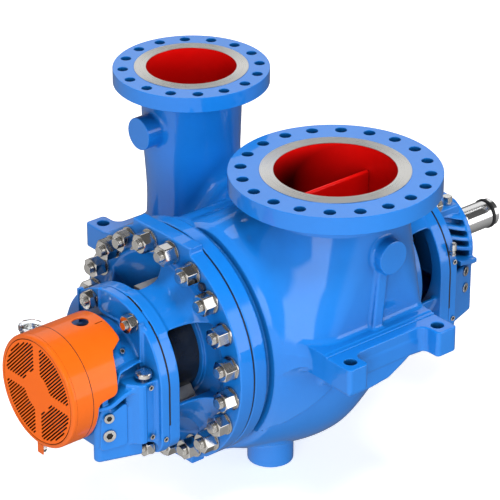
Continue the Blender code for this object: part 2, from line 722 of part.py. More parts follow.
def sump_wall(x, side, length):
    """Point on the slanted side of a sump and the way it faces; outboard form."""
    narrow_end = MIDDLE_X - RING_FACE - length + 0.012
    start = MIDDLE_X - RING_FACE - 0.010
    slope = (SUMP_WIDE - SUMP_NARROW) / (start - narrow_end)
    reach = SUMP_NARROW + slope * (x - narrow_end)
    return Vector((x, side * reach, 0)), Vector((-slope, side, 0)).normalized()


def across(vector):
    """The same point on the inboard half."""
    return Vector((2 * MIDDLE_X - vector.x, vector.y, vector.z))


def oil_plugs(slot, parent):
    """Level and drain plugs in the front side of each sump."""
    outboard = (-0.733, OUTBOARD_LENGTH)
    inboard = (2 * MIDDLE_X - 0.560, INBOARD_LENGTH + 0.015)
    for end, (x, length) in (("outboard", outboard), ("inboard", inboard)):
        for level, z in (("upper", -0.059), ("lower", -0.112)):
            wall, normal = sump_wall(x, -1, length)
            wall.z = z
            near = wall + normal * GAP
            far = wall + normal * 0.007
            if end == "inboard":
                near, far = across(near), across(far)
            place(end + "_" + level + "_plug", rod(0.0135, near, far, 16), slot, parent)


def oil_filler(slot, parent):
    """Domed filler cap on the shoulder of the outboard housing."""
    low = 0.028 + GAP
    cap = upright(((0, low), (0.011, low), (0.011, low + 0.014), (0.018, low + 0.018), (0.020, low + 0.026),
                   (0.017, low + 0.032), (0, low + 0.032)), -0.630, -0.168, 24)
    place("outboard_oil_cap", cap, slot, parent)


def oiler(steel, clear, parent):
    """Constant-level oiler on the far side of the outboard sump: elbow with its cup, and the clear bulb."""
    wall, normal = sump_wall(-0.7244, 1, OUTBOARD_LENGTH)
    wall.z = -0.034
    centre = wall + normal * 0.040
    rim = 0.022
    cup = upright(((0, -0.050), (0.018, -0.050), (0.022, -0.044), (0.022, rim), (0, rim)), centre.x, centre.y, 24)
    item = place("oiler_base", cup, steel, parent)
    stub = rod(0.010, wall + normal * GAP, wall + normal * 0.030, 16)
    boolean(item, guide(stub, parent), "UNION")
    low = rim + GAP
    place("oiler_bulb", upright(((0, low), (0.018, low), (0.029, 0.034), (0.034, 0.048), (0.034, 0.076),
                                 (0.027, 0.089), (0.013, 0.096), (0, 0.096)), centre.x, centre.y, 24), clear, parent)


def main():
    remove_everything()
    paint = material("blue_paint", BLUE, 0.35)
    black = material("black_seal", (0.02, 0.02, 0.025), 0.4)
    steel = material("bright_steel", (0.62, 0.61, 0.58), 0.25, 1.0)
    dark_steel = material("dark_steel", (0.20, 0.20, 0.20), 0.4, 1.0)
    orange = material("orange_paint", (0.85, 0.20, 0.02), 0.4)
    clear = material("clear_bulb", (0.9, 0.92, 0.92), 0.05)

    axis = bpy.data.objects.new("pump_axis", None)
    bpy.context.scene.collection.objects.link(axis)
    axis.location = -SOLE

    casing(paint, axis)
    outboard_head(paint, axis)
    inboard_bracket(paint, axis)
    outboard_housing(paint, axis)
    inboard_housing(paint, axis)
    end_covers(paint, axis)
    seals(black, steel, axis)
    shaft(steel, axis)
    fan(dark_steel, axis)
    guard(orange, axis)
    guard_tab(orange, axis)
    oil_plugs(steel, axis)
    oil_filler(steel, axis)
    oiler(steel, clear, axis)


main()
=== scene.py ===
"""Dressed model of the between-bearings process pump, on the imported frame.

Castings are drawn as signed-distance fields with real fillets and skinned by dual contouring; flanges,
fasteners, the guard and other machined or sheet pieces are crisp meshes. All pieces are drawn in pump
coordinates: X along the shaft towards the drive end, Y towards the discharge side, Z up, x = 0 at the nozzles
and y = z = 0 on the shaft.
"""

import math

import bpy
import numpy as np
from mathutils import Matrix, Vector
from mathutils.geometry import delaunay_2d_cdt


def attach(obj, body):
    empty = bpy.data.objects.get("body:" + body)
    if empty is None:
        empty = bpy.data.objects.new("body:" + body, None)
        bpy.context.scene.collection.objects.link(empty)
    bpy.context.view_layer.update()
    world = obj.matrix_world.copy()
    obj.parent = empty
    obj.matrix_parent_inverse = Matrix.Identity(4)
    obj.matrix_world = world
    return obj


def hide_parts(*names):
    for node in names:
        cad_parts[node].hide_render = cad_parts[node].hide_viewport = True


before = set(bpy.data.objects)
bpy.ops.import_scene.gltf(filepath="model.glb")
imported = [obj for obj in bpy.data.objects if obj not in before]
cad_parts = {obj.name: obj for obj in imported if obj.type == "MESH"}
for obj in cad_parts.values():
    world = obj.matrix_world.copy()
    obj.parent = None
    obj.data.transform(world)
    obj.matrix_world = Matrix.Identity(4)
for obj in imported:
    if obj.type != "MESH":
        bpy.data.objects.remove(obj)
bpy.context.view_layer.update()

AXIS = np.array((0.2255, 0.480, -0.017))        # where the pump's own zero stands in the world
MIDDLE = -0.0675                                # the machine is symmetric about this x
JOINT = -0.386                                  # casing against head
HALF_GAP = 0.0025                               # half the gasket's thickness
HEAD_FACE = -0.434
RING_BACK = -0.545                              # outboard lantern ring, window side
RING_FRONT = -0.580
PLATE_FRONT = -0.608
SUCTION = (0.0, -0.212)
DISCHARGE = (0.0, 0.402)
ARMS = ((2, 27), (96, 140), (201, 229), (274, 320))     # degrees from the discharge side, through the top
SEAL_BORE_R = 0.060
LANTERN_BORE_R = 0.150
SHAFT_R = 0.041
SEAT_R = 0.0453                                 # inside of what turns on the shaft's sleeve
COVER_BORE_R = 0.0413
CORE_R = 0.1324                                 # outboard housing behind its end flange
SUMP_FLOOR = -0.196
SUMP_WIDE, SUMP_TAPER, SUMP_START, SUMP_RUN = 0.196, 0.055, -0.590, 0.166
DRUM_R = 0.156


# Signed-distance fields: negative inside, metres

def joined(a, b, fillet=0.0):
    """Union, with a concave fillet where the two meet."""
    if isinstance(fillet, float) and fillet == 0.0:
        return np.minimum(a, b)
    inner = np.hypot(np.maximum(fillet - a, 0), np.maximum(fillet - b, 0))
    return np.maximum(fillet, np.minimum(a, b)) - inner


def common(a, b, edge=0.0):
    """Intersection, with a rounded edge."""
    if isinstance(edge, float) and edge == 0.0:
        return np.maximum(a, b)
    return np.minimum(-edge, np.maximum(a, b)) + np.hypot(np.maximum(edge + a, 0), np.maximum(edge + b, 0))


def without(a, b, edge=0.0):
    return common(a, -b, edge)


def slab(v, low, high):
    return np.maximum(low - v, v - high)


def round_bar(u, v, w, centre, radius, low, high, edge=0.003):
    """Cylinder along w."""
    return common(np.hypot(u - centre[0], v - centre[1]) - radius, slab(w, low, high), edge)


def brick(x, y, z, low, high, corner=0.003, edge=0.003):
    """Block whose upright edges have one radius and its other edges another."""
    side = common(slab(x, low[0], high[0]), slab(y, low[1], high[1]), corner)
    return common(side, slab(z, low[2], high[2]), edge)


def along(u, v, path):
    """Distance to an open line."""
    best = None
    for (ax, ay), (bx, by) in zip(path, path[1:]):
        ex, ey, wx, wy = bx - ax, by - ay, u - ax, v - ay
        t = np.clip((wx * ex + wy * ey) / (ex * ex + ey * ey), 0, 1)
        away = (wx - ex * t) ** 2 + (wy - ey * t) ** 2
        best = away if best is None else np.minimum(best, away)
    return np.sqrt(best)


def outline(u, v, points):
    """Distance to a closed polygon, negative inside."""
    inside, closed = False, [*points, points[0]]
    for (ax, ay), (bx, by) in zip(closed, closed[1:]):
        left = (bx - ax) * (v - ay) - (by - ay) * (u - ax)
        inside = inside ^ (((ay <= v) & (v < by) & (left > 0)) | ((by <= v) & (v < ay) & (left < 0)))
    return np.where(inside, -1.0, 1.0) * along(u, v, closed)


def curve(knots, values):
    """Smooth table through measured points whose knots rise: a function for the value, one for the slope."""
    knots, values = np.array(knots, float), np.array(values, float)
    h, d = np.diff(knots), np.diff(values) / np.diff(knots)
    n = len(knots)
    a, b = np.zeros((n, n)), np.zeros(n)
    a[0, 0] = a[-1, -1] = 1
    for k in range(1, n - 1):
        a[k, k - 1:k + 2] = h[k - 1], 2 * (h[k - 1] + h[k]), h[k]
        b[k] = 6 * (d[k] - d[k - 1])
    m = np.linalg.solve(a, b)
    at = np.linspace(knots[0], knots[-1], 4000)
    k = np.clip(np.searchsorted(knots, at, side="right") - 1, 0, n - 2)
    s, hk = at - knots[k], h[k]
    table = (values[k] + s * (d[k] - hk * (2 * m[k] + m[k + 1]) / 6) + s * s * m[k] / 2
             + s ** 3 * (m[k + 1] - m[k]) / (6 * hk))
    slope = np.gradient(table, at)
    return (lambda v: np.interp(v, at, table)), (lambda v: np.interp(v, at, slope))


def ease(v, low, high):
    t = np.clip((v - low) / (high - low), 0, 1)
    return t * t * (3 - 2 * t)


# Skinning a field

def slope_of(field, p, reach=0.0004):
    g = np.empty_like(p)
    for a in range(3):
        step = np.zeros(3)
        step[a] = reach
        hi, lo = p + step, p - step
        g[:, a] = field(hi[:, 0], hi[:, 1], hi[:, 2]) - field(lo[:, 0], lo[:, 1], lo[:, 2])
    return g / (2 * reach)


def contour(field, low, high, step):
    """Dual contouring: vertices and quads of the field's zero surface, sharp edges kept."""
    low, high = np.array(low, float), np.array(high, float)
    axes = [np.arange(low[a], high[a] + step, step) for a in range(3)]
    x, y, z = (axes[a].reshape([-1 if a == b else 1 for b in range(3)]) for a in range(3))
    value = np.broadcast_to(field(x, y, z), [len(v) for v in axes])
    inside = value < 0
    size = np.array(value.shape)
    keys, points, quads = [], [], []
    for a in range(3):
        b, c = (a + 1) % 3, (a + 2) % 3
        first = np.moveaxis(inside, a, 0)
        at = np.array(np.nonzero(np.moveaxis(first[:-1] != first[1:], 0, a))).T
        after = at.copy()
        after[:, a] += 1
        v0, v1 = value[tuple(at.T)].astype(float), value[tuple(after.T)].astype(float)
        t0, t1 = np.zeros(len(at)), np.ones(len(at))
        base = low + at * step
        for _ in range(3):
            t = np.clip((t0 * v1 - t1 * v0) / (v1 - v0), 0, 1)
            p = base.copy()
            p[:, a] += t * step
            v = field(p[:, 0], p[:, 1], p[:, 2])
            same = (v < 0) == (v0 < 0)
            t0, v0 = np.where(same, t, t0), np.where(same, v, v0)
            t1, v1 = np.where(same, t1, t), np.where(same, v1, v)
        points.append(p)
        ring = []
        for db, dc in ((-1, -1), (0, -1), (0, 0), (-1, 0)):
            cell = at.copy()
            cell[:, b] += db
            cell[:, c] += dc
            ring.append((cell[:, 0] * size[1] + cell[:, 1]) * size[2] + cell[:, 2])
        ring = np.array(ring).T
        keys.append(ring)
        outward = inside[tuple(at.T)]
        quads.append(np.where(outward[:, None], ring, ring[:, ::-1]))
    p = np.concatenate(points)
    n = slope_of(field, p)
    n /= np.maximum(np.linalg.norm(n, axis=1), 1e-9)[:, None]
    ring = np.concatenate(keys)
    cells, where = np.unique(ring.ravel(), return_inverse=True)
    source = np.repeat(np.arange(len(p)), 4)
    count = len(cells)
    p4, n4 = p[source], n[source]
    share = np.bincount(where, minlength=count)
    middle = np.stack([np.bincount(where, p4[:, a], count) for a in range(3)], 1) / share[:, None]
    d = np.sum(n4 * (p4 - middle[where]), axis=1)
    ata, atb = np.empty((count, 3, 3)), np.empty((count, 3))
    for a in range(3):
        atb[:, a] = np.bincount(where, n4[:, a] * d, count)
        for b in range(3):
            ata[:, a, b] = np.bincount(where, n4[:, a] * n4[:, b], count)
    ata += 0.08 * share[:, None, None] * np.eye(3)
    shift = np.linalg.solve(ata, atb[:, :, None])[:, :, 0]
    index = np.array(np.unravel_index(cells, size)).T
    centre = low + (index + 0.5) * step
    verts = np.clip(middle + shift, centre - 0.55 * step, centre + 0.55 * step)
    quads = np.searchsorted(cells, np.concatenate(quads))
    return verts, quads


def settle(field, verts, limit, rounds=2):
    """Moves vertices on to the field's surface."""
    for _ in range(rounds):
        g = slope_of(field, verts)
        v = field(verts[:, 0], verts[:, 1], verts[:, 2])
        move = -g * (v / np.maximum(np.sum(g * g, axis=1), 0.2))[:, None]
        length = np.linalg.norm(move, axis=1)
        verts = verts + move * np.minimum(1, limit / np.maximum(length, 1e-9))[:, None]
    return verts


def mirrored(points):
    """The same place on the other half of the machine."""
    return points * np.array((-1, 1, 1)) + np.array((2 * MIDDLE, 0, 0))


def mesh_from(name, verts, faces):
    mesh = bpy.data.meshes.new(name)
    mesh.vertices.add(len(verts))
    mesh.vertices.foreach_set("co", np.asarray(verts, np.float32).ravel())
    sides = faces.shape[1]
    mesh.loops.add(faces.size)
    mesh.loops.foreach_set("vertex_index", faces.astype(np.int32).ravel())
    mesh.polygons.add(len(faces))
    mesh.polygons.foreach_set("loop_start", np.arange(0, faces.size, sides, dtype=np.int32))
    mesh.update(calc_edges=True)
    return mesh


def add(name, mesh, finish, body="frame", slot="blue_paint", replaces=()):
    """Puts a finished mesh in the scene, riding on its body."""
    item = bpy.data.objects.new(name, mesh)
    bpy.context.scene.collection.objects.link(item)
    if finish:
        mesh.materials.clear()
        mesh.materials.append(finish)
    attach(item, body)
    if replaces:
        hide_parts(*replaces)
    return item


def casting(name, field, low, high, step, triangles, finish, **where):
    """Skins a field, thins it out where it is flat, and gives it the field's own normals."""
    verts, quads = contour(field, low, high, step)
    verts = settle(field, verts, 0.4 * step)
    mesh = mesh_from(name, verts, quads)
    rough = bpy.data.objects.new(name + "_rough", mesh)
    bpy.context.scene.collection.objects.link(rough)
    thin = rough.modifiers.new("thin", "DECIMATE")
    thin.ratio = min(1.0, triangles / (2 * len(quads)))
    thin.use_collapse_triangulate = True
    depsgraph = bpy.context.evaluated_depsgraph_get()
    done = bpy.data.meshes.new_from_object(rough.evaluated_get(depsgraph))
    bpy.data.objects.remove(rough)
    bpy.data.meshes.remove(mesh)
    co = np.empty(len(done.vertices) * 3, np.float32)
    done.vertices.foreach_get("co", co)
    verts = settle(field, co.reshape(-1, 3).astype(float), 0.3 * step)
    corner = np.empty(len(done.loops), np.int32)
    done.loops.foreach_get("vertex_index", corner)
    faces = corner.reshape(-1, 3)
    centre = verts[faces].mean(axis=1)
    inwards = np.repeat(centre, 3, axis=0) - verts[corner]
    length = np.linalg.norm(inwards, axis=1)
    inwards *= (np.minimum(0.25 * length, 0.0015) / np.maximum(length, 1e-9))[:, None]
    normals = slope_of(field, verts[corner] + inwards)
    if where.pop("mirror", False):
        verts = mirrored(verts)
        normals[:, 0] *= -1
        faces = faces[:, ::-1]
        normals = normals.reshape(-1, 3, 3)[:, ::-1].reshape(-1, 3)
    normals /= np.maximum(np.linalg.norm(normals, axis=1), 1e-9)[:, None]
    mesh = mesh_from(name, verts + AXIS, faces)
    bpy.data.meshes.remove(done)
    mesh.shade_smooth()
    mesh.normals_split_custom_set(normals.tolist())
    return add(name, mesh, finish, **where)


# Crisp shapes: (vertices, normals, faces), each a closed skin drawn round local u, v with w upwards

UPRIGHT = np.eye(3)
ALONG_X = np.array(((0, 0, 1), (1, 0, 0), (0, 1, 0)), float)
AGAINST_X = np.array(((0, 0, -1), (-1, 0, 0), (0, 1, 0)), float)


def facing(direction, up=(0, 0, 1)):
    """Turn that brings local w to a direction and keeps local v as near to up as it can."""
    w = np.array(direction, float)
    w /= np.linalg.norm(w)
    u = np.cross(up, w)
    u /= np.linalg.norm(u)
    return np.column_stack((u, np.cross(w, u), w))


def ring_of(radius, count=64, centre=(0, 0), start=0.0, clockwise=False):
    a = start + np.arange(count) * (-2 if clockwise else 2) * math.pi / count
    return np.column_stack((centre[0] + radius * np.cos(a), centre[1] + radius * np.sin(a)))


def filleted(points, radii, steps=6):
    """Closed loop with an arc of its own radius at each corner."""
    p = np.array(points, float)
    if np.isscalar(radii):
        radii = [radii] * len(p)
    out = []
    for k, radius in enumerate(radii):
        back, ahead = p[k - 1] - p[k], p[(k + 1) % len(p)] - p[k]
        room = 0.49 * min(np.linalg.norm(back), np.linalg.norm(ahead))
        back, ahead = back / np.linalg.norm(back), ahead / np.linalg.norm(ahead)
        half = math.acos(np.clip(back @ ahead, -1, 1)) / 2
        if radius == 0 or half > 1.55:
            out.append(p[k])
            continue
        reach = min(radius / math.tan(half), room)
        radius = reach * math.tan(half)
        middle = p[k] + (back + ahead) / np.linalg.norm(back + ahead) * radius / math.sin(half)
        a, b = p[k] + back * reach - middle, p[k] + ahead * reach - middle
        turn = math.atan2(a[0] * b[1] - a[1] * b[0], a @ b)
        for s in range(steps + 1):
            c, d = math.cos(turn * s / steps), math.sin(turn * s / steps)
            out.append(middle + (a[0] * c - a[1] * d, a[0] * d + a[1] * c))
    return np.array(out)


def softened(points, corner, closed=True):
    """A line with its sharp corners cut back, and the outward normal that shades each of its points."""
    p = np.array(points, float)
    ahead = np.roll(p, -1, 0) - p
    length = np.maximum(np.linalg.norm(ahead, axis=1), 1e-9)
    ahead /= length[:, None]
    side = np.column_stack((ahead[:, 1], -ahead[:, 0]))
    out, normals = [], []
    for k in range(len(p)):
        if not closed and k in (0, len(p) - 1):
            out.append(p[k])
            normals.append(side[0] if k == 0 else side[-2])
        elif ahead[k - 1] @ ahead[k] > 0.87:
            middle = side[k - 1] + side[k]
            out.append(p[k])
            normals.append(middle / np.linalg.norm(middle))
        else:
            cut = min(corner, 0.4 * length[k - 1], 0.4 * length[k])
            out += [p[k] - ahead[k - 1] * cut, p[k] + ahead[k] * cut]
            normals += [side[k - 1], side[k]]
    return np.array(out), np.array(normals)


def lathe(profile, segments=64, corner=0.001):
    """Turned shape from (radius, w) points, anticlockwise seen with radius to the right and w up."""
    on_axis = profile[0][0] == 0 and profile[-1][0] == 0
    line, side = softened(profile, corner, closed=not on_axis)
    a = np.arange(segments) * 2 * math.pi / segments
    c, s = np.cos(a), np.sin(a)
    verts, norms = (np.stack((np.outer(v[:, 0], c), np.outer(v[:, 0], s),
                              np.repeat(v[:, 1:], segments, 1)), 2) for v in (line, side))
    count = len(line)
    faces = []
    for k in range(count - 1 if on_axis else count):
        low, high = k * segments, (k + 1) % count * segments
        for j in range(segments):
            n = (j + 1) % segments
            if line[k][0] == 0:
                faces.append((low, high + n, high + j))
            elif line[(k + 1) % count][0] == 0:
                faces.append((low + j, low + n, high))
            else:
                faces.append((low + j, low + n, high + n, high + j))
    return verts.reshape(-1, 3), norms.reshape(-1, 3), faces


def within(points, loop):
    """Even-odd test of points against a loop."""
    inside = np.zeros(len(points), bool)
    for (ax, ay), (bx, by) in zip(loop, np.roll(loop, -1, 0)):
        crosses = (ay > points[:, 1]) != (by > points[:, 1])
        with np.errstate(divide="ignore", invalid="ignore"):
            at = ax + (points[:, 1] - ay) * (bx - ax) / (by - ay)
        inside ^= crosses & (points[:, 0] < at)
    return inside


def plate(outer, holes, low, high, edge=0.001, corner=0.001, grid=0.0):
    """Flat plate with holes; outer runs anticlockwise, holes clockwise, and every edge is softened."""
    verts, norms, faces, flat, links, index, tops = [], [], [], [], [], [], []
    count = start = 0
    for loop in [outer, *holes]:
        line, side = softened(loop, corner)
        n = len(line)
        tall = min(edge, 0.45 * (high - low))
        rings = ((line - side * edge, low, (0, 0, -1)), (line, low + tall, None),
                 (line, high - tall, None), (line - side * edge, high, (0, 0, 1)))
        for place, w, normal in rings:
            verts.append(np.column_stack((place, np.full(n, w))))
            norms.append(np.tile(normal, (n, 1)) if normal else np.column_stack((side, np.zeros(n))))
        for level in range(3):
            a, b = start + level * n, start + (level + 1) * n
            faces += [(a + k, a + (k + 1) % n, b + (k + 1) % n, b + k) for k in range(n)]
        flat += [Vector(p) for p in line - side * edge]
        links += [(count + k, count + (k + 1) % n) for k in range(n)]
        count += n
        start += 4 * n
        index += [start - 4 * n + k for k in range(n)]
        tops += [start - n + k for k in range(n)]
    loops = np.array(flat)
    if grid:
        span = [np.arange(loops[:, a].min() + grid / 2, loops[:, a].max(), grid) for a in (0, 1)]
        more = np.array(np.meshgrid(*span)).reshape(2, -1).T
        near = np.array([np.min(np.sum((loops - p) ** 2, axis=1)) for p in more])
        more = more[near > (0.4 * grid) ** 2]
        flat += [Vector(p) for p in more]
        for w, normal, where in ((low, (0, 0, -1), index), (high, (0, 0, 1), tops)):
            verts.append(np.column_stack((more, np.full(len(more), w))))
            norms.append(np.tile(normal, (len(more), 1)))
            where += [start + k for k in range(len(more))]
            start += len(more)
    found, _, tris, origin, _, _ = delaunay_2d_cdt(flat, links, [], 0, 1e-7)
    tris = np.array([t for t in tris if len(t) == 3])
    centre = np.array(found)[tris].mean(axis=1)
    keep, at = None, 0
    for loop in [outer, *holes]:
        n = len(softened(loop, corner)[0])
        here = within(centre, loops[at:at + n])
        keep = here if keep is None else keep & ~here
        at += n
    first = [o[0] for o in origin]
    for a, b, c in tris[keep]:
        faces.append((tops[first[a]], tops[first[b]], tops[first[c]]))
        faces.append((index[first[c]], index[first[b]], index[first[a]]))
    return np.concatenate(verts), np.concatenate(norms), faces


def put(shape, turn=UPRIGHT, at=(0, 0, 0)):
    verts, norms, faces = shape
    return verts @ turn.T + np.array(at, float), norms @ turn.T, faces


def across(shape):
    """The same shape on the other half of the machine."""
    verts, norms, faces = shape
    return mirrored(verts), norms * np.array((-1, 1, 1)), [tuple(reversed(f)) for f in faces]


def merged(shapes):
    verts, norms, faces, start = [], [], [], 0
    for v, n, f in shapes:
        verts.append(v)
        norms.append(n)
        faces += [tuple(start + k for k in face) for face in f]
        start += len(v)
    return np.concatenate(verts), np.concatenate(norms), faces


def piece(name, shapes, finish, **where):
    verts, norms, faces = merged(shapes if isinstance(shapes, list) else [shapes])
    mesh = bpy.data.meshes.new(name)
    mesh.from_pydata((verts + AXIS).tolist(), [], faces)
    mesh.shade_smooth()
    norms = norms / np.maximum(np.linalg.norm(norms, axis=1), 1e-9)[:, None]
    mesh.normals_split_custom_set_from_vertices(norms.tolist())
    return add(name, mesh, finish, **where)


# Casting forms, in pump coordinates

def angle_about_shaft(y, z):
    """Degrees from the discharge side, through the top."""
    return np.degrees(np.arctan2(z, y)) % 360


barrel_r, barrel_slope = curve(
    (-0.322, -0.300, -0.240, -0.174, -0.123, -0.073, -0.002, 0.057, 0.116, 0.170, 0.225, 0.265, 0.299),
    (0.3430, 0.3530, 0.374, 0.391, 0.400, 0.403, 0.395, 0.377, 0.342, 0.300, 0.262, 0.244, 0.238))
crease_at = curve((-0.335, -0.318, -0.312, -0.287, -0.259, -0.228, -0.187, -0.154, -0.120),
                  (222.5, 217.5, 214.2, 208.8, 203.7, 198.2, 191.6, 188.0, 183.5))[0]
cheek_height = curve((-0.330, -0.305, -0.260, -0.205, -0.165, -0.140, -0.100),
                     (-0.006, 0.001, 0.009, 0.017, 0.012, 0.000, -0.006))[0]


def radial(r, x, radius, slope, extra=0.0):
    return (r - radius(x) - extra) / np.sqrt(1 + slope(x) ** 2)


def barrel(x, y, z):
    r = np.hypot(y, z)
    ends = slab(x, -0.322, 0.299)
    turn = angle_about_shaft(y, z)
    behind = ease((turn + 60) % 360, 45, 75) * (1 - ease((turn + 60) % 360, 135, 168))
    saddle = np.minimum(0.306 + 0.034 * ease(x, -0.095, -0.020) - barrel_r(x), 0) * behind
    low = (0.042 * ease(x, -0.05, 0.09) * (1 - ease(x, 0.17, 0.28)) + 0.005 * ease(x, -0.28, -0.15))
    low = low * ease(turn, 186, 230) * (1 - ease(turn, 300, 340))
    body = common(radial(r, x, barrel_r, barrel_slope, saddle - low), -0.322 - x, 0.020)
    body = common(body, x - 0.299, 0.004)
    swell = cheek_height(x) * ease(turn, 140, 180) - 0.006 * (1 - ease(turn, 140, 180)) + saddle
    above = (turn - crease_at(x)) * (math.pi / 180) * 0.37
    cheek = common(common(radial(r, x, barrel_r, barrel_slope, swell), above, 0.0025), ends, 0.003)
    body = joined(body, cheek, 0.004)
    groove = np.maximum(r - 0.317, slab(x, -0.350, -0.300))
    band = common(r - 0.334, slab(x, JOINT + HALF_GAP, -0.342), 0.0035)
    return joined(joined(body, groove, 0.003), band, 0.003)


def suction_chamber(x, y, z):
    t = np.clip((0.360 - z) / 0.270, 0, 1.1)
    right, left, front, back = 0.200 - 0.063 * t, -0.200 - 0.062 * t, -0.412 - 0.022 * t, -0.012
    corner = np.where(x > (right + left) / 2, 0.200 - 0.170 * t, 0.200 - 0.125 * t)
    qx = np.abs(x - (right + left) / 2) - (right - left) / 2 + corner
    qy = np.abs(y - (front + back) / 2) - (back - front) / 2 + corner
    side = np.minimum(np.maximum(qx, qy), 0) + np.hypot(np.maximum(qx, 0), np.maximum(qy, 0)) - corner
    side = side - 0.004 * ease(z, 0.360, 0.413)
    return np.maximum(side, slab(z, 0.045, 0.418))


LINING = 0.004          # room left in the casting round each painted bore
FOOT_HOLES_X, FOOT_HOLE_Y, FOOT_HOLE_R = (-0.2255, 0.0885), 0.5325, 0.018
NECK_LEVELS = (-0.310, -0.200, -0.060, 0.060, 0.150, 0.312, 0.438, 0.530)
neck_x = curve(NECK_LEVELS, (-0.060, -0.050, -0.030, -0.010, 0, 0, 0, 0))[0]
neck_y = curve(NECK_LEVELS, (0.170, 0.262, 0.350, 0.392, 0.402, 0.402, 0.402, 0.402))[0]
neck_wide = curve(NECK_LEVELS, (0.090, 0.130, 0.145, 0.138, 0.131, 0.138, 0.1425, 0.147))[0]
neck_deep = curve(NECK_LEVELS, (0.090, 0.120, 0.135, 0.130, 0.131, 0.138, 0.1425, 0.147))[0]


def discharge_neck(x, y, z):
    wide, deep = neck_wide(z), neck_deep(z)
    across_it = np.hypot((x - neck_x(z)) / wide, (y - neck_y(z)) / deep)
    return np.maximum((across_it - 1) * np.minimum(wide, deep), slab(z, -0.300, 0.5245))


suction_bore_r = curve((0.0, 0.110, 0.200, 0.290, 0.400, 0.470),
                       (0.110, 0.110, 0.136, 0.160, 0.1675, 0.1675))[0]
discharge_bore_r = curve((0.0, 0.095, 0.180, 0.300, 0.450, 0.570),
                         (0.098, 0.098, 0.110, 0.122, 0.1275, 0.1275))[0]
LUG_OUTLINE = filleted(((-0.262, 0.200), (0.127, 0.200), (0.127, 0.571), (0.0577, 0.571), (0.0577, 0.5085),
                        (-0.193, 0.5085), (-0.193, 0.571), (-0.262, 0.571)),
                       (0.01, 0.01, 0.012, 0.012, 0.027, 0.027, 0.012, 0.012))
SKIRT_OUTLINE = filleted(((-0.208, 0.060), (-0.208, -0.038), (-0.127, -0.036), (-0.062, -0.028),
                          (-0.014, -0.004), (0.012, 0.012), (0.042, 0.010), (0.070, 0.008), (0.070, 0.060)),
                         (0, 0.012, 0, 0, 0, 0, 0, 0, 0))


def rails(x, y, z):
    side = np.abs(y)
    plan = outline(x, side, LUG_OUTLINE)
    rail = common(plan, slab(z, 0.017, 0.091), 0.0035)
    strip = common(common(plan, side - 0.480, 0.001), slab(z, 0.060, 0.0945), 0.002)
    strip = np.minimum(strip, common(common(plan, side - 0.470, 0.001), slab(z, 0.060, 0.0970), 0.0015))
    skirt = common(outline(x, z, SKIRT_OUTLINE), slab(side, 0.300, 0.5085), 0.005)
    return joined(np.minimum(rail, strip), skirt, 0.005)


def suction_rib(x, y, z):
    middle = -0.012 - 0.215 * (0.290 - z)
    face = -0.436 - 0.016 * (0.240 - z) / 0.140
    upright = common(np.abs(x - middle) - 0.018, face - y, 0.007)
    return common(upright, np.maximum(slab(z, 0.060, 0.280), y + 0.340))


def casing(x, y, z):
    body = joined(barrel(x, y, z), suction_chamber(x, y, z), 0.060)
    body = joined(body, discharge_neck(x, y, z), 0.060 + 0.035 * ease(x, -0.040, 0.070))
    body = joined(body, rails(x, y, z), 0.016)
    body = joined(body, suction_rib(x, y, z), 0.010)
    body = joined(body, round_bar(x, z, y, (0, 0.291), 0.048, -0.450, -0.300, 0.002), 0.010)
    body = joined(body, round_bar(y, z, x, (0.402, 0.409), 0.0475, -0.193, -0.080, 0.002), 0.012)
    body = joined(body, round_bar(x, y, z, (-0.135, -0.105), 0.0655, -0.430, -0.300, 0.003), 0.012)
    pad = brick(x, y, z, (JOINT + HALF_GAP, -0.122, -0.331), (-0.238, 0.122, -0.200), 0.004)
    body = joined(body, pad, 0.010)
    for centre, radius, low in ((SUCTION, 0.222, 0.4132), (DISCHARGE, 0.165, 0.5187)):
        away = np.hypot(x - centre[0], y - centre[1])
        body = joined(body, np.maximum(away - radius, slab(z, low, low + 0.005)), 0.011)
    for centre, bore, low in ((SUCTION, suction_bore_r, 0.111), (DISCHARGE, discharge_bore_r, 0.096)):
        away = np.hypot(x - centre[0], y - centre[1])
        body = without(body, common(away - bore(z) - LINING, low - z, 0.040))
    for hole in FOOT_HOLES_X:
        body = without(body, np.hypot(x - hole, np.abs(y) - FOOT_HOLE_Y) - FOOT_HOLE_R, 0.0015)
    return without(body, np.hypot(y, z) - SEAL_BORE_R)


dish_floor, dish_slope = curve((0, 0.10, 0.180, 0.205, 0.252, 0.262, 0.30),
                               (-0.408, -0.408, -0.408, -0.4105, -0.4285, -0.4365, -0.480))
flare_r, flare_slope = curve((-0.600, -0.545, -0.485, -0.460, -0.442, -0.434, -0.420, -0.400),
                             (0.207, 0.208, 0.2115, 0.222, 0.243, 0.256, 0.275, 0.300))
short_flare_r, short_flare_slope = curve((-0.600, -0.545, -0.485, -0.472, -0.462, -0.4543, -0.440),
                                         (0.207, 0.208, 0.2115, 0.215, 0.222, 0.234, 0.240))


def arms(r, x, y, z, radius, slope, root, steps):
    """Lantern wall kept only at the four arms, with the window corners rounded by the joins."""
    wall = np.maximum(radial(r, x, radius, slope), 0.194 - r)
    wall = np.maximum(wall, slab(x, RING_FRONT + 0.010, root))
    for (_, start), (end, _) in zip(ARMS, (*ARMS[1:], ARMS[0])):
        middle, half = math.radians((start + end % 360) / 2), math.radians((end % 360 - start) / 2)
        aside = np.abs(z * math.cos(middle) - y * math.sin(middle)) - 0.2115 * math.sin(half)
        out = y * math.cos(middle) + z * math.sin(middle)
        wall = common(wall, -np.maximum(aside, 0.02 - out), steps)
    return wall


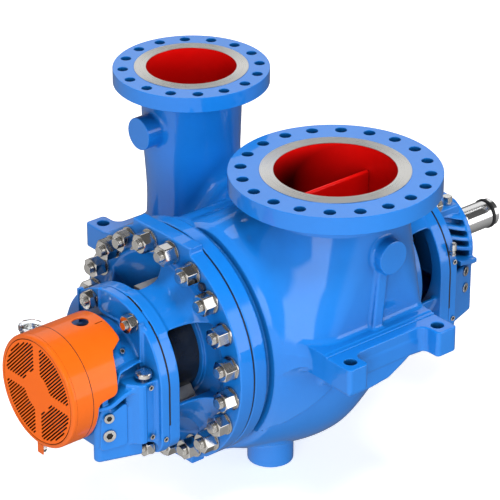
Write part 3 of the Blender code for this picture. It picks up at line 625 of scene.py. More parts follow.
def tombstone(y, z):
    """Half circle over straight sides, with round lower corners."""
    round_top = np.hypot(y, z) - 0.210 - 0.003 * np.clip(1 - z / 0.08, 0, 1)
    qy, qz = np.abs(y) - 0.213 + 0.045, -z - 0.200 + 0.045
    low = np.minimum(np.maximum(qy, qz), 0) + np.hypot(np.maximum(qy, 0), np.maximum(qz, 0)) - 0.045
    return np.where(z > 0, round_top, low)


def lantern_ring(x, y, z):
    return common(tombstone(y, z), slab(x, RING_FRONT, RING_BACK), 0.003)


def head(x, y, z):
    r = np.hypot(y, z)
    pad = np.maximum(np.abs(y) - 0.122, np.abs(z) - 0.331)
    plan = joined(np.maximum(r - 0.334, np.abs(z) - 0.331), pad, 0.008)
    body = common(plan, slab(x, HEAD_FACE, JOINT - HALF_GAP), 0.003)
    floor = (x - dish_floor(r)) / np.sqrt(1 + dish_slope(r) ** 2)
    body = without(body, floor, 0.002)
    bars = arms(r, x, y, z, flare_r, flare_slope, -0.400, 0.005)
    ring = lantern_ring(x, y, z)
    boss = common(r - 0.153, slab(x, -0.4165, -0.395), 0.004)
    body = joined(joined(joined(ring, bars, 0.012), body, 0.011), boss, 0.006)
    body = without(body, np.maximum(r - LANTERN_BORE_R, x + 0.500), 0.002)
    return without(body, r - SEAL_BORE_R, 0.001)


def inboard_bracket(x, y, z):
    """Drawn as its mirror image, at the outboard end."""
    r = np.hypot(y, z)
    disc = common(r - 0.230, slab(x, -0.4563, -0.4355), 0.003)
    bars = arms(r, x, y, z, short_flare_r, short_flare_slope, -0.4400, 0.005)
    body = joined(joined(lantern_ring(x, y, z), bars, 0.010), disc, 0.009)
    body = without(body, np.maximum(r - LANTERN_BORE_R, x + 0.500), 0.002)
    return without(body, r - 0.172, 0.001)


def past_side(x, y):
    """How far a point stands out from the slanted sides of a sump, which narrows away from the plate."""
    return (np.abs(y) - SUMP_WIDE + SUMP_TAPER * np.clip((SUMP_START - x) / SUMP_RUN, 0, 1.1)) * 0.95


def sump(x, y, z, end, top):
    """Oil sump with a pocket under its outer part."""
    side = past_side(x, y)
    body = common(common(side, end - x, 0.014), slab(z, SUMP_FLOOR, top), 0.012)
    pocket = np.maximum(np.maximum(side / 0.95 + 0.020, z + 0.147), x + 0.640)
    return without(body, pocket, 0.006)


def waved(points, count=14):
    """Smooth line through a few measured points."""
    x, z = zip(*points)
    at = np.linspace(x[0], x[-1], count)
    return list(zip(at, curve(x, z)[0](at)))


SILL = waved(((-0.775, -0.027), (-0.760, -0.026), (-0.744, -0.026), (-0.729, -0.022), (-0.711, -0.009),
              (-0.692, 0.004), (-0.680, 0.010), (-0.655, 0.014)))
PAD_OUTLINE = filleted(((-0.757, -0.060), (-0.733, -0.050), (-0.708, -0.034), (-0.688, -0.020),
                        (-0.688, -0.150), (-0.762, -0.158)), (0.010, 0, 0, 0.006, 0.010, 0.014))
FIN = waved(((-0.702, 0.030), (-0.694, 0.046), (-0.678, 0.056), (-0.650, 0.060), (-0.612, 0.063)))
HUB_EDGE = ((0.049, 0.204), (0.0485, 0.147), (0.040, 0.140), (0.0107, 0.138), (-0.0338, 0.141),
            (-0.0642, 0.1016), (-0.0945, 0.0606), (-0.125, 0.0423))
BLOCK_OUTLINE = filleted(((-0.595, 0.100), (-0.595, 0.197), (-0.655, 0.195), (-0.664, 0.190), (-0.686, 0.160),
                          (-0.686, 0.100)), (0, 0.004, 0.006, 0.008, 0.004, 0))


def outboard_housing(x, y, z):
    r, side = np.hypot(y, z), np.abs(y)
    body = common(tombstone(y, z), slab(x, PLATE_FRONT, RING_FRONT), 0.004)
    core = common(r - CORE_R, slab(x, -0.7550, -0.575), 0.003)
    core = joined(core, common(r - 0.1495, slab(x, -0.7550, -0.735), 0.003), 0.008)
    body = joined(joined(body, core, 0.010), sump(x, y, z, -0.768, -0.034), 0.012)
    proud = past_side(x, y)
    sill = common(along(x, z, SILL) - 0.006, proud - 0.010, 0.003)
    body = joined(body, common(sill, np.maximum(-0.040 - proud, -0.768 - x)), 0.004)
    pad = common(outline(x, z, PAD_OUTLINE), proud - 0.0045, 0.002)
    body = joined(body, np.maximum(pad, -0.020 - proud), 0.003)
    block = common(outline(x, side, BLOCK_OUTLINE), slab(z, -0.152, 0.028), 0.005)
    block = without(block, common(slab(x, -0.642, -0.614), slab(side, 0.191, 0.300), 0.004), 0.004)
    body = joined(body, block, 0.007)
    nut_room = np.hypot(side - 0.165, z + 0.186) - 0.031
    body = without(body, np.maximum(nut_room, slab(x, -0.646, -0.608)), 0.004)
    stem = common(np.abs(side - 0.134) - 0.0045, slab(x, -0.618, -0.600), 0.003)
    body = joined(body, np.maximum(stem, slab(z, 0.020, 0.172)), 0.008)
    bead = common(along(y, z, HUB_EDGE) - 0.0028, slab(x, -0.6135, -0.600), 0.002)
    body = joined(body, bead, 0.004)
    fin = common(along(x, z, FIN) - 0.0030, np.maximum(r - 0.151, 0.100 - side), 0.003)
    body = joined(body, fin, 0.004)
    return without(body, r - 0.0415)


def inboard_housing(x, y, z):
    """Drawn as its mirror image, at the outboard end."""
    r, side = np.hypot(y, z), np.abs(y)
    body = common(tombstone(y, z), slab(x, PLATE_FRONT, RING_FRONT), 0.004)
    body = joined(body, common(r - 0.108, slab(x, -0.735, -0.590), 0.003), 0.010)
    flat_top = z - 0.133
    end = common(common(r - 0.147, slab(x, -0.735, -0.719), 0.003), flat_top, 0.003)
    body = joined(body, end, 0.005)
    body = joined(body, sump(x, y, z, -0.735, -0.030), 0.012)
    block = common(side - 0.098, slab(x, -0.720, -0.600), 0.004)
    body = joined(body, common(block, np.maximum(flat_top, 0.070 - z), 0.006), 0.004)
    wave = 0.017 * (2 * ease(x, -0.745, -0.615) - 1)
    for fin in (0.107, 0.078, 0.049, 0.020):
        reach = np.maximum(r - 0.146, slab(x, -0.730, -0.595))
        blade = common(np.abs(z - fin - wave) - 0.0062, reach, 0.003)
        body = joined(body, np.maximum(blade, flat_top), 0.005)
    proud = past_side(x, y)
    sill = common(common(np.abs(z + 0.012 - wave) - 0.007, proud - 0.014, 0.003),
                  np.maximum(-0.060 - proud, slab(x, -0.735, -0.640)))
    body = joined(body, sill, 0.005)
    return without(body, r - 0.0455)


# Materials

class Nodes:
    """A short hand for building the nodes of a material or of the world."""

    def __init__(self, owner):
        owner.use_nodes = True
        self.owner, self.tree = owner, owner.node_tree
        self.shader = self.tree.nodes.get("Principled BSDF")
        self.coordinates = self.new("ShaderNodeTexCoord").outputs
        self.place = self.coordinates["Object"]

    def new(self, kind, links=(), **settings):
        node = self.tree.nodes.new(kind)
        for key, value in settings.items():
            setattr(node, key, value)
        for socket, value in dict(links).items():
            self.link(node.inputs[socket], value)
        return node

    def link(self, socket, value):
        if isinstance(value, bpy.types.NodeSocket):
            self.tree.links.new(value, socket)
        else:
            socket.default_value = value

    def set(self, **values):
        for key, value in values.items():
            self.link(self.shader.inputs[key.replace("_", " ")], value)

    def noise(self, scale, detail=3.0, roughness=0.55):
        return self.new("ShaderNodeTexNoise", {"Vector": self.place, "Scale": scale, "Detail": detail,
                                               "Roughness": roughness}).outputs["Fac"]

    def vector(self, operation, a, b):
        return self.new("ShaderNodeVectorMath", {0: a, 1: b}, operation=operation).outputs[0]

    def ramp(self, value, low, high, to=(0.0, 1.0), kind="LINEAR"):
        links = {"Value": value, "From Min": low, "From Max": high, "To Min": to[0], "To Max": to[1]}
        return self.new("ShaderNodeMapRange", links, interpolation_type=kind).outputs["Result"]

    def mix(self, factor, a, b):
        links = {"Factor": factor, "A": a, "B": b}
        return self.new("ShaderNodeMix", links, data_type="RGBA").outputs["Result"]

    def math(self, operation, a, b=0.0):
        return self.new("ShaderNodeMath", {0: a, 1: b}, operation=operation).outputs[0]

    def bump(self, height, distance, strength=1.0, under=None):
        links = {"Height": height, "Distance": distance, "Strength": strength}
        if under:
            links["Normal"] = under
        return self.new("ShaderNodeBump", links).outputs["Normal"]


def new_material(name):
    return Nodes(bpy.data.materials.new(name))


def paint(name, colour, shade, roughness=0.40, coat=0.9, deep=None):
    """Sprayed gloss paint: slight drift in tone, orange peel, dust in the gloss, and painted shade from
    ambient occlusion, darker in recesses.

    A deep bore gets more painted shade, darker below a point over a span, except towards its lit side, and
    never under a least.
    """
    n = new_material(name)
    drift = n.ramp(n.noise(2.6, 2.0), 0.35, 0.65)
    grain = n.ramp(n.noise(46.0, 4.0), 0.30, 0.75)
    tone = n.mix(n.math("ADD", n.math("MULTIPLY", drift, 0.6), n.math("MULTIPLY", grain, 0.25)),
                 (*shade, 1), (*colour, 1))
    # painted shade: ambient occlusion pulls the base colour to near black in recesses, corners and between
    # parts
    recess = n.new("ShaderNodeAmbientOcclusion", {"Distance": 0.115}, samples=6).outputs["AO"]
    painted_light_amount = n.ramp(recess, 0.15, 0.80, (0.22, 1.0))
    # painted shade down a deep bore, lifted towards its lit side
    if deep:
        point, span, power, right, least = deep
        away = n.vector("SUBTRACT", n.place, tuple(np.array(point) + AXIS))
        x, _, z = n.new("ShaderNodeSeparateXYZ", {0: away}).outputs
        light = n.math("MAXIMUM", n.math("POWER", n.ramp(z, -span, 0.0), power), n.ramp(x, *right))
        painted_light_amount = n.math("MULTIPLY", painted_light_amount, n.math("MAXIMUM", light, least))
    tone = n.mix(painted_light_amount, (*[0.02 * c for c in shade], 1), tone)
    gloss = n.ramp(n.noise(14.0, 5.0, 0.6), 0.25, 0.8, (roughness - 0.04, roughness + 0.06))
    peel = n.bump(n.noise(150.0, 2.0, 0.5), 0.0006, 0.08)
    wave = n.bump(n.noise(9.0, 1.0), 0.004, 0.06, peel)
    n.set(Base_Color=tone, Roughness=gloss, Normal=wave, Coat_Weight=coat, Coat_Roughness=0.035, IOR=1.5,
          Specular_IOR_Level=0.15)
    return n.owner


def turned_steel(name, centre, across_axis, colour=(0.80, 0.79, 0.76), roughness=0.30, pitch=0.0011):
    """Machined metal with fine turning rings round an axis through a centre."""
    n = new_material(name)
    flat = n.vector("MULTIPLY", n.vector("SUBTRACT", n.place, tuple(np.array(centre) + AXIS)), across_axis)
    r = n.new("ShaderNodeVectorMath", {0: flat}, operation="LENGTH").outputs["Value"]
    rings = n.math("SINE", n.math("MULTIPLY", r, 2 * math.pi / pitch))
    uneven = n.new("ShaderNodeTexNoise", {"W": n.math("MULTIPLY", r, 900.0), "Scale": 1.0, "Detail": 2.0},
                   noise_dimensions="1D").outputs["Fac"]
    cloud = n.noise(7.0, 3.0)
    tone = n.mix(n.math("MULTIPLY", n.math("ADD", uneven, cloud), 0.5),
                 (*[0.80 * c for c in colour], 1), (*colour, 1))
    rough = n.ramp(n.math("ADD", uneven, cloud), 0.6, 1.4, (roughness - 0.06, roughness + 0.08))
    n.set(Base_Color=tone, Metallic=1.0, Roughness=rough,
          Normal=n.bump(n.math("ADD", rings, uneven), 0.00012, 0.5))
    return n.owner


def plain_steel(name, colour, roughness, metallic=1.0, stained=0.68, depth=0.0002):
    """Bare or blackened metal with slight stains and fine scratches."""
    n = new_material(name)
    stain = n.noise(28.0, 4.0, 0.6)
    scratch = n.noise(420.0, 2.0, 0.6)
    tone = n.mix(n.ramp(stain, 0.3, 0.7), (*[stained * c for c in colour], 1), (*colour, 1))
    rough = n.ramp(n.math("ADD", stain, scratch), 0.7, 1.3, (roughness - 0.07, roughness + 0.10))
    n.set(Base_Color=tone, Metallic=metallic, Roughness=rough, Normal=n.bump(scratch, depth, 0.35))
    return n.owner


def clear_plastic(name):
    n = new_material(name)
    haze = n.ramp(n.noise(30.0, 3.0), 0.3, 0.8, (0.02, 0.09))
    n.set(Base_Color=(0.93, 0.96, 0.97, 1), Roughness=haze, IOR=1.45, Transmission_Weight=1.0,
          Normal=n.bump(n.noise(60.0, 1.0), 0.0004, 0.15))
    return n.owner


BLUE_TONES = (0.0078, 0.200, 0.680), (0.0060, 0.172, 0.605)
RED_TONES = (0.86, 0.004, 0.003), (0.68, 0.003, 0.002)
ORANGE_TONES = (0.80, 0.140, 0.006), (0.70, 0.112, 0.004)

blue = paint("blue_paint_finish", *BLUE_TONES)
# both bore linings carry painted shade, darker deeper in the bore and lighter towards its lit side
red = paint("red_bore_painted_shade_finish", *RED_TONES, coat=0.5,
            deep=((DISCHARGE[0], DISCHARGE[1], 0.565), 0.34, 1.0, (0.0, 0.20), 0.30))
vane_red = paint("red_vane_finish", *RED_TONES, coat=0.5)
shaded_deep_red = paint("red_deep_bore_painted_shade_finish", *RED_TONES, coat=0.5,
                 deep=((SUCTION[0], SUCTION[1], 0.466), 0.115, 2.6, (-0.010, 0.150), 0.015))
orange = paint("orange_finish", *ORANGE_TONES, coat=0.35)
orange_front = paint("orange_front_finish", (0.92, 0.150, 0.004), (0.84, 0.128, 0.003), coat=0.05)
black = plain_steel("black_seal_finish", (0.016, 0.019, 0.024), 0.15, metallic=0.0, depth=0.00005)
# black for the gasket and retaining ring, also used as painted shade in open joints, a seam and socket floors
black_gasket_and_shade = plain_steel("gasket_and_painted_shade_finish", (0.012, 0.012, 0.013), 0.55, metallic=0.0)
stud_steel = plain_steel("stud_finish", (0.62, 0.60, 0.57), 0.19, stained=0.80, depth=0.0001)
nut_steel = plain_steel("nut_finish", (0.70, 0.68, 0.65), 0.15, stained=0.82, depth=0.0001)
dark_steel = plain_steel("dark_steel_finish", (0.16, 0.16, 0.17), 0.38)
grey_steel = plain_steel("grey_steel_finish", (0.36, 0.35, 0.33), 0.42, metallic=0.2)
bright = plain_steel("bright_steel_finish", (0.78, 0.77, 0.75), 0.20)
shaft_steel = turned_steel("shaft_finish", (0, 0, 0), (0, 1, 1), (0.86, 0.86, 0.86), 0.16)
clear = clear_plastic("clear_bulb_finish")
suction_face = turned_steel("suction_face_finish", (SUCTION[0], SUCTION[1], 0), (1, 1, 0))
discharge_face = turned_steel("discharge_face_finish", (DISCHARGE[0], DISCHARGE[1], 0), (1, 1, 0))


# Castings

casting("casing_casting", casing, (-0.392, -0.580, -0.436), (0.304, 0.580, 0.530), 0.0050, 150000, blue,
        replaces=["casing"])
casting("head_casting", head, (-0.586, -0.340, -0.340), (-0.380, 0.340, 0.340), 0.0036, 100000, blue,
        replaces=["outboard_head"])
casting("inboard_bracket_casting", inboard_bracket, (-0.586, -0.245, -0.245), (-0.430, 0.245, 0.245), 0.0036,
        60000, blue, mirror=True, replaces=["inboard_bracket"])
casting("outboard_housing_casting", outboard_housing, (-0.774, -0.220, -0.206), (-0.568, 0.220, 0.216),
        0.0030, 80000, blue, replaces=["outboard_bearing_housing"])
casting("inboard_housing_casting", inboard_housing, (-0.741, -0.220, -0.206), (-0.574, 0.220, 0.216), 0.0030,
        80000, blue, mirror=True, replaces=["inboard_bearing_housing"])


# Nozzle flanges with their raised faces and painted bores

RAISED = 0.0016
BORE_FOOT = 0.038           # radius between a bore's wall and its floor


def nozzle(name, centre, top, thick, radius, face_r, bore, bolt_r, hole_r, holes, first, floor, face_finish,
           lining):
    """Flange of one nozzle; first is the angle of a hole in degrees, floor the height where the bore ends."""
    bore_r = float(bore(top))
    low, step, at = top - thick, RAISED, (centre[0], centre[1], 0)
    loops = []
    for k in range(holes):
        a = math.radians(first) + 2 * math.pi * k / holes
        loops.append(ring_of(hole_r, 24, (bolt_r * math.cos(a), bolt_r * math.sin(a)), clockwise=True))
    loops.append(ring_of(face_r - 0.002, 128, clockwise=True))
    disc = plate(ring_of(radius, 160), loops, low, top - step, 0.0018)
    inner = lathe(((bore_r + 0.003, low), (face_r - 0.0021, low), (face_r - 0.0021, top - step),
                   (bore_r + 0.003, top - step)), 128)
    piece(name + "_flange_disc", [put(disc, UPRIGHT, at), put(inner, UPRIGHT, at)], blue)
    face = lathe(((bore_r + 0.0005, top - step - 0.004), (face_r, top - step - 0.004), (face_r, top),
                  (bore_r + 0.0005, top)), 160, 0.0006)
    piece(name + "_raised_face", put(face, UPRIGHT, at), face_finish, slot="bright_steel")
    foot_r, foot_z = float(bore(floor + BORE_FOOT)) - BORE_FOOT, floor + BORE_FOOT
    wall = [(float(bore(z)), z) for z in np.linspace(top - 0.006, foot_z, 14)]
    foot = [(foot_r + BORE_FOOT * math.cos(a), foot_z - BORE_FOOT * math.sin(a))
            for a in np.linspace(0.1, math.pi / 2, 8)]
    inside = [(bore_r, top - 0.0008), *wall, *foot, (0, floor)]
    outside = [(r + 0.003 if r > 0 else r, z - 0.003) for r, z in reversed(inside[1:])]
    piece(name + "_bore_lining", put(lathe([*outside, *inside], 96, 0.0006), UPRIGHT, at), lining)


nozzle("suction", SUCTION, top=0.466, thick=0.053, radius=0.2925, face_r=0.2064, bore=suction_bore_r,
       bolt_r=0.2572, hole_r=0.0159, holes=20, first=9, floor=0.115, face_finish=suction_face,
       lining=shaded_deep_red)
nozzle("discharge", DISCHARGE, top=0.565, thick=0.0465, radius=0.2225, face_r=0.1619, bore=discharge_bore_r,
       bolt_r=0.1937, hole_r=0.0143, holes=16, first=11.25, floor=0.100, face_finish=discharge_face,
       lining=red)

vane = [(-0.1715, 0.100), (-0.1565, 0.100)] + [(-0.164 + 0.0075 * math.cos(a), 0.3905 + 0.0075 * math.sin(a))
                                              for a in np.linspace(0, math.pi, 9)]
piece("splitter_vane", put(plate(np.array(vane), [], -0.1600, 0.1600), ALONG_X), vane_red)


# Fasteners

def hex_nut(across_flats, height, bore, segments=48):
    """Hexagon with the conical chamfer of a real nut."""
    half = across_flats / 2
    a = np.arange(segments) * 2 * math.pi / segments
    reach = half / np.cos((a % (math.pi / 3)) - math.pi / 6)
    flat_r = half * 0.965
    drop = (reach - flat_r) * math.tan(math.radians(30))
    c, s = np.cos(a), np.sin(a)
    face_at = (np.floor(a / (math.pi / 3)) + 0.5) * math.pi / 3
    verts, norms, faces = [], [], []

    def rings(rows):
        start = sum(len(v) for v in verts)
        for radius, w, normal in rows:
            verts.append(np.column_stack((radius * c, radius * s, w * np.ones(segments))))
            norms.append(np.column_stack(normal))
        for level in range(len(rows) - 1):
            low = start + level * segments
            faces.extend((low + k, low + (k + 1) % segments, low + segments + (k + 1) % segments,
                          low + segments + k) for k in range(segments))

    one, none = np.ones(segments), np.zeros(segments)
    side = (np.cos(face_at), np.sin(face_at), none)
    slope = (c * 0.5, s * 0.5, one * 0.866)
    under = (c * 0.5, s * 0.5, one * -0.866)
    rings(((bore, 0.0, (none, none, -one)), (flat_r, 0.0, (none, none, -one))))
    rings(((flat_r, 0.0, under), (reach, drop * 0.5, under)))
    rings(((reach, drop * 0.5, side), (reach, height - drop, side)))
    rings(((reach, height - drop, slope), (flat_r, height, slope)))
    rings(((flat_r, height, (none, none, one)), (bore, height, (none, none, one))))
    rings(((bore, height, (-c, -s, none)), (bore, 0.0, (-c, -s, none))))
    return np.concatenate(verts), np.concatenate(norms), faces


def washer(outer, bore, height):
    return lathe(((bore, 0), (outer, 0), (outer, height), (bore, height)), 40, 0.0007)


def stud(radius, low, high, pitch):
    """Threaded end with a domed tip."""
    rows = [(0, low), (radius, low)]
    w = high - 0.003 - pitch * max(1, int((high - low - 0.006) / pitch))
    while w < high - 0.0031:
        rows += [(radius, w), (radius * 0.93, w + pitch / 2)]
        w += pitch
    rows += [(radius, w), (radius * 0.88, high), (0, high)]
    return lathe(rows, 28, 0.0003)


def fastener(at, direction, nut_flats, nut_height, stud_r, tip, washer_r=0.0, washer_t=0.0, turn=0.0):
    """Nut, stud end and washer on a face; tip is how far the stud stands out."""
    frame_turn = facing(direction, (0, 0, 1) if abs(direction[2]) < 0.9 else (1, 0, 0))
    c, s = math.cos(turn), math.sin(turn)
    frame_turn = frame_turn @ np.array(((c, -s, 0), (s, c, 0), (0, 0, 1)))
    at = np.array(at, float)
    w = np.array(direction, float) / np.linalg.norm(direction)
    nut = put(hex_nut(nut_flats, nut_height, stud_r - 0.0005), frame_turn, at + w * washer_t)
    shank = put(stud(stud_r, 0.001, tip, 0.0028 if stud_r > 0.008 else 0.0016), frame_turn, at)
    ring = put(washer(washer_r, stud_r, washer_t), frame_turn, at) if washer_t else None
    return nut, shank, ring


def round_shaft(x, radius, count, first):
    """Points evenly spaced on a circle round the shaft, from an angle in degrees."""
    angles = math.radians(first) + np.arange(count) * 2 * math.pi / count
    return [(x, radius * math.cos(a), radius * math.sin(a)) for a in angles]


def fasteners(spots, turns, **sizes):
    """Lists of the nuts, stud ends and washers at some points of the machine's outboard faces."""
    sets = [fastener(at, (-1, 0, 0), turn=turn, **sizes) for at, turn in zip(spots, turns)]
    return [list(kind) for kind in zip(*sets)]


BOTH_ENDS = (("outboard", lambda shape: shape), ("inboard", across))
PLATE_NUTS = (-0.095, 0.161), (0.080, 0.162), (-0.159, -0.186), (0.159, -0.186)

nuts, studs, washers = fasteners(round_shaft(HEAD_FACE, 0.2977, 20, 9), 0.61 * np.arange(20), nut_flats=0.053,
                                 nut_height=0.036, stud_r=0.016, tip=0.053, washer_r=0.033, washer_t=0.005)
piece("head_nuts", nuts, nut_steel, slot="bright_steel")
piece("head_studs", studs, stud_steel, slot="bright_steel")
piece("head_washers", washers, stud_steel, slot="bright_steel")

spots = [(PLATE_FRONT - 0.001, y, z) for y, z in PLATE_NUTS]
nuts, studs, washers = fasteners(spots, [y * 9 for y, _ in PLATE_NUTS], nut_flats=0.047, nut_height=0.022,
                                 stud_r=0.013, tip=0.034, washer_r=0.026, washer_t=0.003)
for name, change in BOTH_ENDS:
    piece(name + "_plate_nuts", [change(s) for s in nuts], nut_steel, slot="bright_steel")
    piece(name + "_plate_studs", [change(s) for s in studs + washers], stud_steel, slot="bright_steel")


# Seals, shaft, covers and fittings

def collar(low, high, outer, inner, segments=96, corner=0.0015):
    """Turned ring round the shaft."""
    return put(lathe(((inner, low), (outer, low), (outer, high), (inner, high)), segments, corner), ALONG_X)


piece("head_gasket", collar(JOINT - 0.003, JOINT + 0.003, 0.331, 0.300, 128, 0.001), black_gasket_and_shade,
      slot="black_seal")


def joint_shade_strip(start, end, steps=24):
    """Black strip as painted shade of the open joint between a bracket's ring and the bearing housing's
    plate, along part of the outline.
    """
    path = []
    for a in np.linspace(math.radians(start), math.radians(end), steps):
        c, sn = math.cos(a), math.sin(a)
        low, high = 0.15, 0.30
        for _ in range(30):
            mid = (low + high) / 2
            if tombstone(np.float64(mid * c), np.float64(mid * sn)) < 0:
                low = mid
            else:
                high = mid
        path.append((low * c, low * sn))
    path = np.array(path)
    away = np.linalg.norm(path, axis=1)[:, None]
    outer, inner = path * (1 + 0.0006 / away), path * (1 - 0.012 / away)
    shape = plate(np.concatenate((outer, inner[::-1])), [], -0.5825, -0.5775, 0.0003)
    return put(shape, ALONG_X)


for name, change in BOTH_ENDS:
    seat = (HEAD_FACE + 0.026 if name == "outboard" else 2 * MIDDLE - 0.299) - 0.0003
    gland = lathe(((0.0505, seat), (0.0505, seat - 0.104), (0.118, seat - 0.104), (0.125, seat - 0.101),
                   (0.132, seat - 0.090), (0.1375, seat - 0.086), (0.1375, seat - 0.001), (0.1365, seat)), 96,
                  0.0015)
    nuts, studs, _ = fasteners(round_shaft(seat - 0.103, 0.108, 6, 20), range(6), nut_flats=0.024,
                               nut_height=0.013, stud_r=0.0078, tip=0.019)
    piece(name + "_gland_body", change(put(gland, ALONG_X)), black, slot="black_seal",
          replaces=[name + "_seal_gland"])
    piece(name + "_gland_screws", [change(s) for s in nuts + studs], dark_steel, slot="dark_steel")
    blocks = []
    for turn, top in ((0.0, 0.189), (math.radians(141), 0.170)):
        port = filleted(((-0.020, 0.130), (0.029, 0.130), (0.029, top), (-0.020, top)),
                        (0.002, 0.002, 0.006, 0.006))
        port = plate(port, [], seat - 0.100, seat - 0.014, 0.0020)
        c, sn = math.cos(turn), math.sin(turn)
        blocks.append(change(put(port, np.array(((1, 0, 0), (0, c, -sn), (0, sn, c))) @ ALONG_X)))
    piece(name + "_flush_port", blocks, grey_steel, slot="bright_steel", replaces=[name + "_seal_port"])
    tip = seat - 0.104
    piece(name + "_drive_collar", change(collar(tip - 0.017, tip - 0.006, 0.060, SEAT_R)), bright,
          body="rotor", slot="bright_steel", replaces=[name + "_seal_collar"])
    rings = lathe(((SEAT_R, tip - 0.028), (0.060, tip - 0.028), (0.075, tip - 0.026), (0.075, tip - 0.022),
                   (0.060, tip - 0.020), (SEAT_R, tip - 0.020)), 96)
    piece(name + "_slinger", change(put(rings, ALONG_X)), black, body="rotor", slot="black_seal",
          replaces=[name + "_deflector"])
    # black strips are painted shade standing for the open joint
    strips = [joint_shade_strip(100, 118), joint_shade_strip(127, 208), joint_shade_strip(332, 412)]
    piece(name + "_joint_shade_line", [change(strip) for strip in strips], black_gasket_and_shade, slot="black_seal")

screws = fasteners(round_shaft(-0.784, 0.132, 6, 30), range(6), nut_flats=0.018, nut_height=0.009,
                   stud_r=0.0055, tip=0.0095)[0]
cover = lathe(((COVER_BORE_R, -0.784), (0.070, -0.784), (0.072, -0.782), (0.115, -0.782), (0.118, -0.784),
               (0.1557, -0.784), (0.1557, -0.7683), (COVER_BORE_R, -0.7683)), 128, 0.002)
piece("outboard_cover_disc", put(cover, ALONG_X), blue, replaces=["outboard_bearing_cover"])
piece("outboard_cover_screws", screws, nut_steel, slot="bright_steel")
cover = lathe(((COVER_BORE_R, 0.6003), (0.129, 0.6003), (0.129, 0.614), (0.085, 0.614), (0.080, 0.6075),
               (0.056, 0.6075), (0.054, 0.614), (COVER_BORE_R, 0.614)), 128, 0.002)
piece("inboard_cover_disc", put(cover, ALONG_X), blue, replaces=["inboard_bearing_cover"])
piece("inboard_cover_screws", [put(hex_nut(0.018, 0.007, 0.005), facing((1, 0, 0)), at)
                               for at in round_shaft(0.614, 0.115, 6, 22.9)], nut_steel, slot="bright_steel")


KEYWAY_TURN = 128


def shaft_end(x, y, z):
    """Coupling end of the shaft with its keyway and the groove of the retaining ring."""
    r, a = np.hypot(y, z), math.radians(KEYWAY_TURN)
    body = common(r - SHAFT_R, slab(x, 0.560, 0.810), 0.003)
    out, beside = y * math.cos(a) + z * math.sin(a), -y * math.sin(a) + z * math.cos(a)
    key = np.hypot(np.maximum(np.abs(x - 0.708) - 0.057, 0), beside) - 0.011
    body = without(body, common(key, 0.032 - out, 0.001), 0.0006)
    return without(body, np.maximum(0.0385 - r, slab(x, 0.7835, 0.7940)), 0.0004)


casting("shaft_coupling_end", shaft_end, (0.556, -0.0445, -0.0445), (0.814, 0.0445, 0.0445), 0.0015, 40000,
        shaft_steel, body="rotor", slot="bright_steel", replaces=["shaft"])
turned = lathe(((0, -0.842), (0.0287, -0.842), (0.0287, -0.800), (0.034, -0.800), (SHAFT_R, -0.790),
                (SHAFT_R, -0.569), (0.045, -0.566), (0.045, 0.435), (0.0409, 0.440), (0.0409, 0.562),
                (0, 0.562)), 96)
piece("shaft_turned", put(turned, ALONG_X), shaft_steel, body="rotor", slot="bright_steel",
      replaces=["shaft"])
piece("retaining_ring", collar(0.7840, 0.7935, 0.0445, 0.0386, corner=0.001), black_gasket_and_shade, body="rotor",
      slot="black_seal")


def socket_plug(at, direction, radius, hex_flats, height):
    """Round plug with a hexagon socket sunk in it."""
    hexagon = ring_of(hex_flats / math.sqrt(3), 6, clockwise=True)
    disc = plate(ring_of(radius, 48), [hexagon], 0.001, height, 0.0012, 0.0003)
    # black disc under the hexagon: painted shade at the socket's floor
    back = lathe(((0, 0), (radius - 0.001, 0), (radius - 0.001, 0.0012), (0, 0.0012)), 32)
    turn = facing(direction)
    return [put(disc, turn, at)], [put(back, turn, at)]


def sump_side(x, z, side, proud=0.0):
    """A point on the slanted side of a sump and the way it faces."""
    slope = SUMP_TAPER / SUMP_RUN
    reach = SUMP_WIDE - slope * (SUMP_START - x)
    normal = np.array((-slope, side, 0)) / math.hypot(slope, 1)
    return np.array((x, side * reach, z)) + normal * proud, normal


for end, x, proud in (("outboard", -0.736, 0.0045), ("inboard", 2 * MIDDLE - 0.554, 0.0)):
    for level, z in (("upper", -0.059), ("lower", -0.112)):
        raised = 0.0 if end == "outboard" else 0.010
        at, facing_out = sump_side(x, z + raised, -1, proud - 0.0005)
        if end == "inboard":
            at, facing_out = mirrored(at), facing_out * (-1, 1, 1)
        size = 0.0180 if (end, level) == ("outboard", "lower") else 0.0145
        heads, sockets = socket_plug(at, facing_out, size, 0.9 * size, 0.005)
        piece("%s_%s_plug_head" % (end, level), heads, bright, slot="bright_steel",
              replaces=["%s_%s_plug" % (end, level)])
        # socket floors in black as painted shade
        piece("%s_%s_plug_socket" % (end, level), sockets, black_gasket_and_shade, slot="dark_steel")

HOUSING_SCREWS = (((-0.6300, -0.197, 0.014), (0, -1, 0)), ((-0.6280, -0.197, -0.137), (0, -1, 0)),
                  ((-0.5950, -0.2135, -0.150), (0, -1, 0)), ((-0.6510, -0.1025, 0.0925), (0, -0.743, 0.669)),
                  ((-0.6085, 0.0009, 0.1319), (-1, 0, 0)),
                  ((0.4600, -0.2135, -0.150), (0, -1, 0)), ((0.4640, -0.2097, 0.029), (0, -0.990, 0.137)))
small_heads, small_sockets = [], []
for at, normal in HOUSING_SCREWS:
    heads, sockets = socket_plug(at, normal, 0.0078, 0.0075, 0.003)
    small_heads += heads
    small_sockets += sockets
piece("housing_screws", small_heads, bright, slot="bright_steel")
# socket floors in black as painted shade
piece("housing_screw_sockets", small_sockets, black_gasket_and_shade, slot="dark_steel")

cap = lathe(((0, 0.0283), (0.011, 0.0283), (0.011, 0.036), (0.0215, 0.0375), (0.0235, 0.040), (0.0235, 0.050),
             (0.022, 0.0525), (0.013, 0.0545), (0, 0.0550)), 64, 0.0008)
piece("oil_filler_cap", put(cap, UPRIGHT, (-0.632, -0.168, 0)), bright, slot="bright_steel",
      replaces=["outboard_oil_cap"])

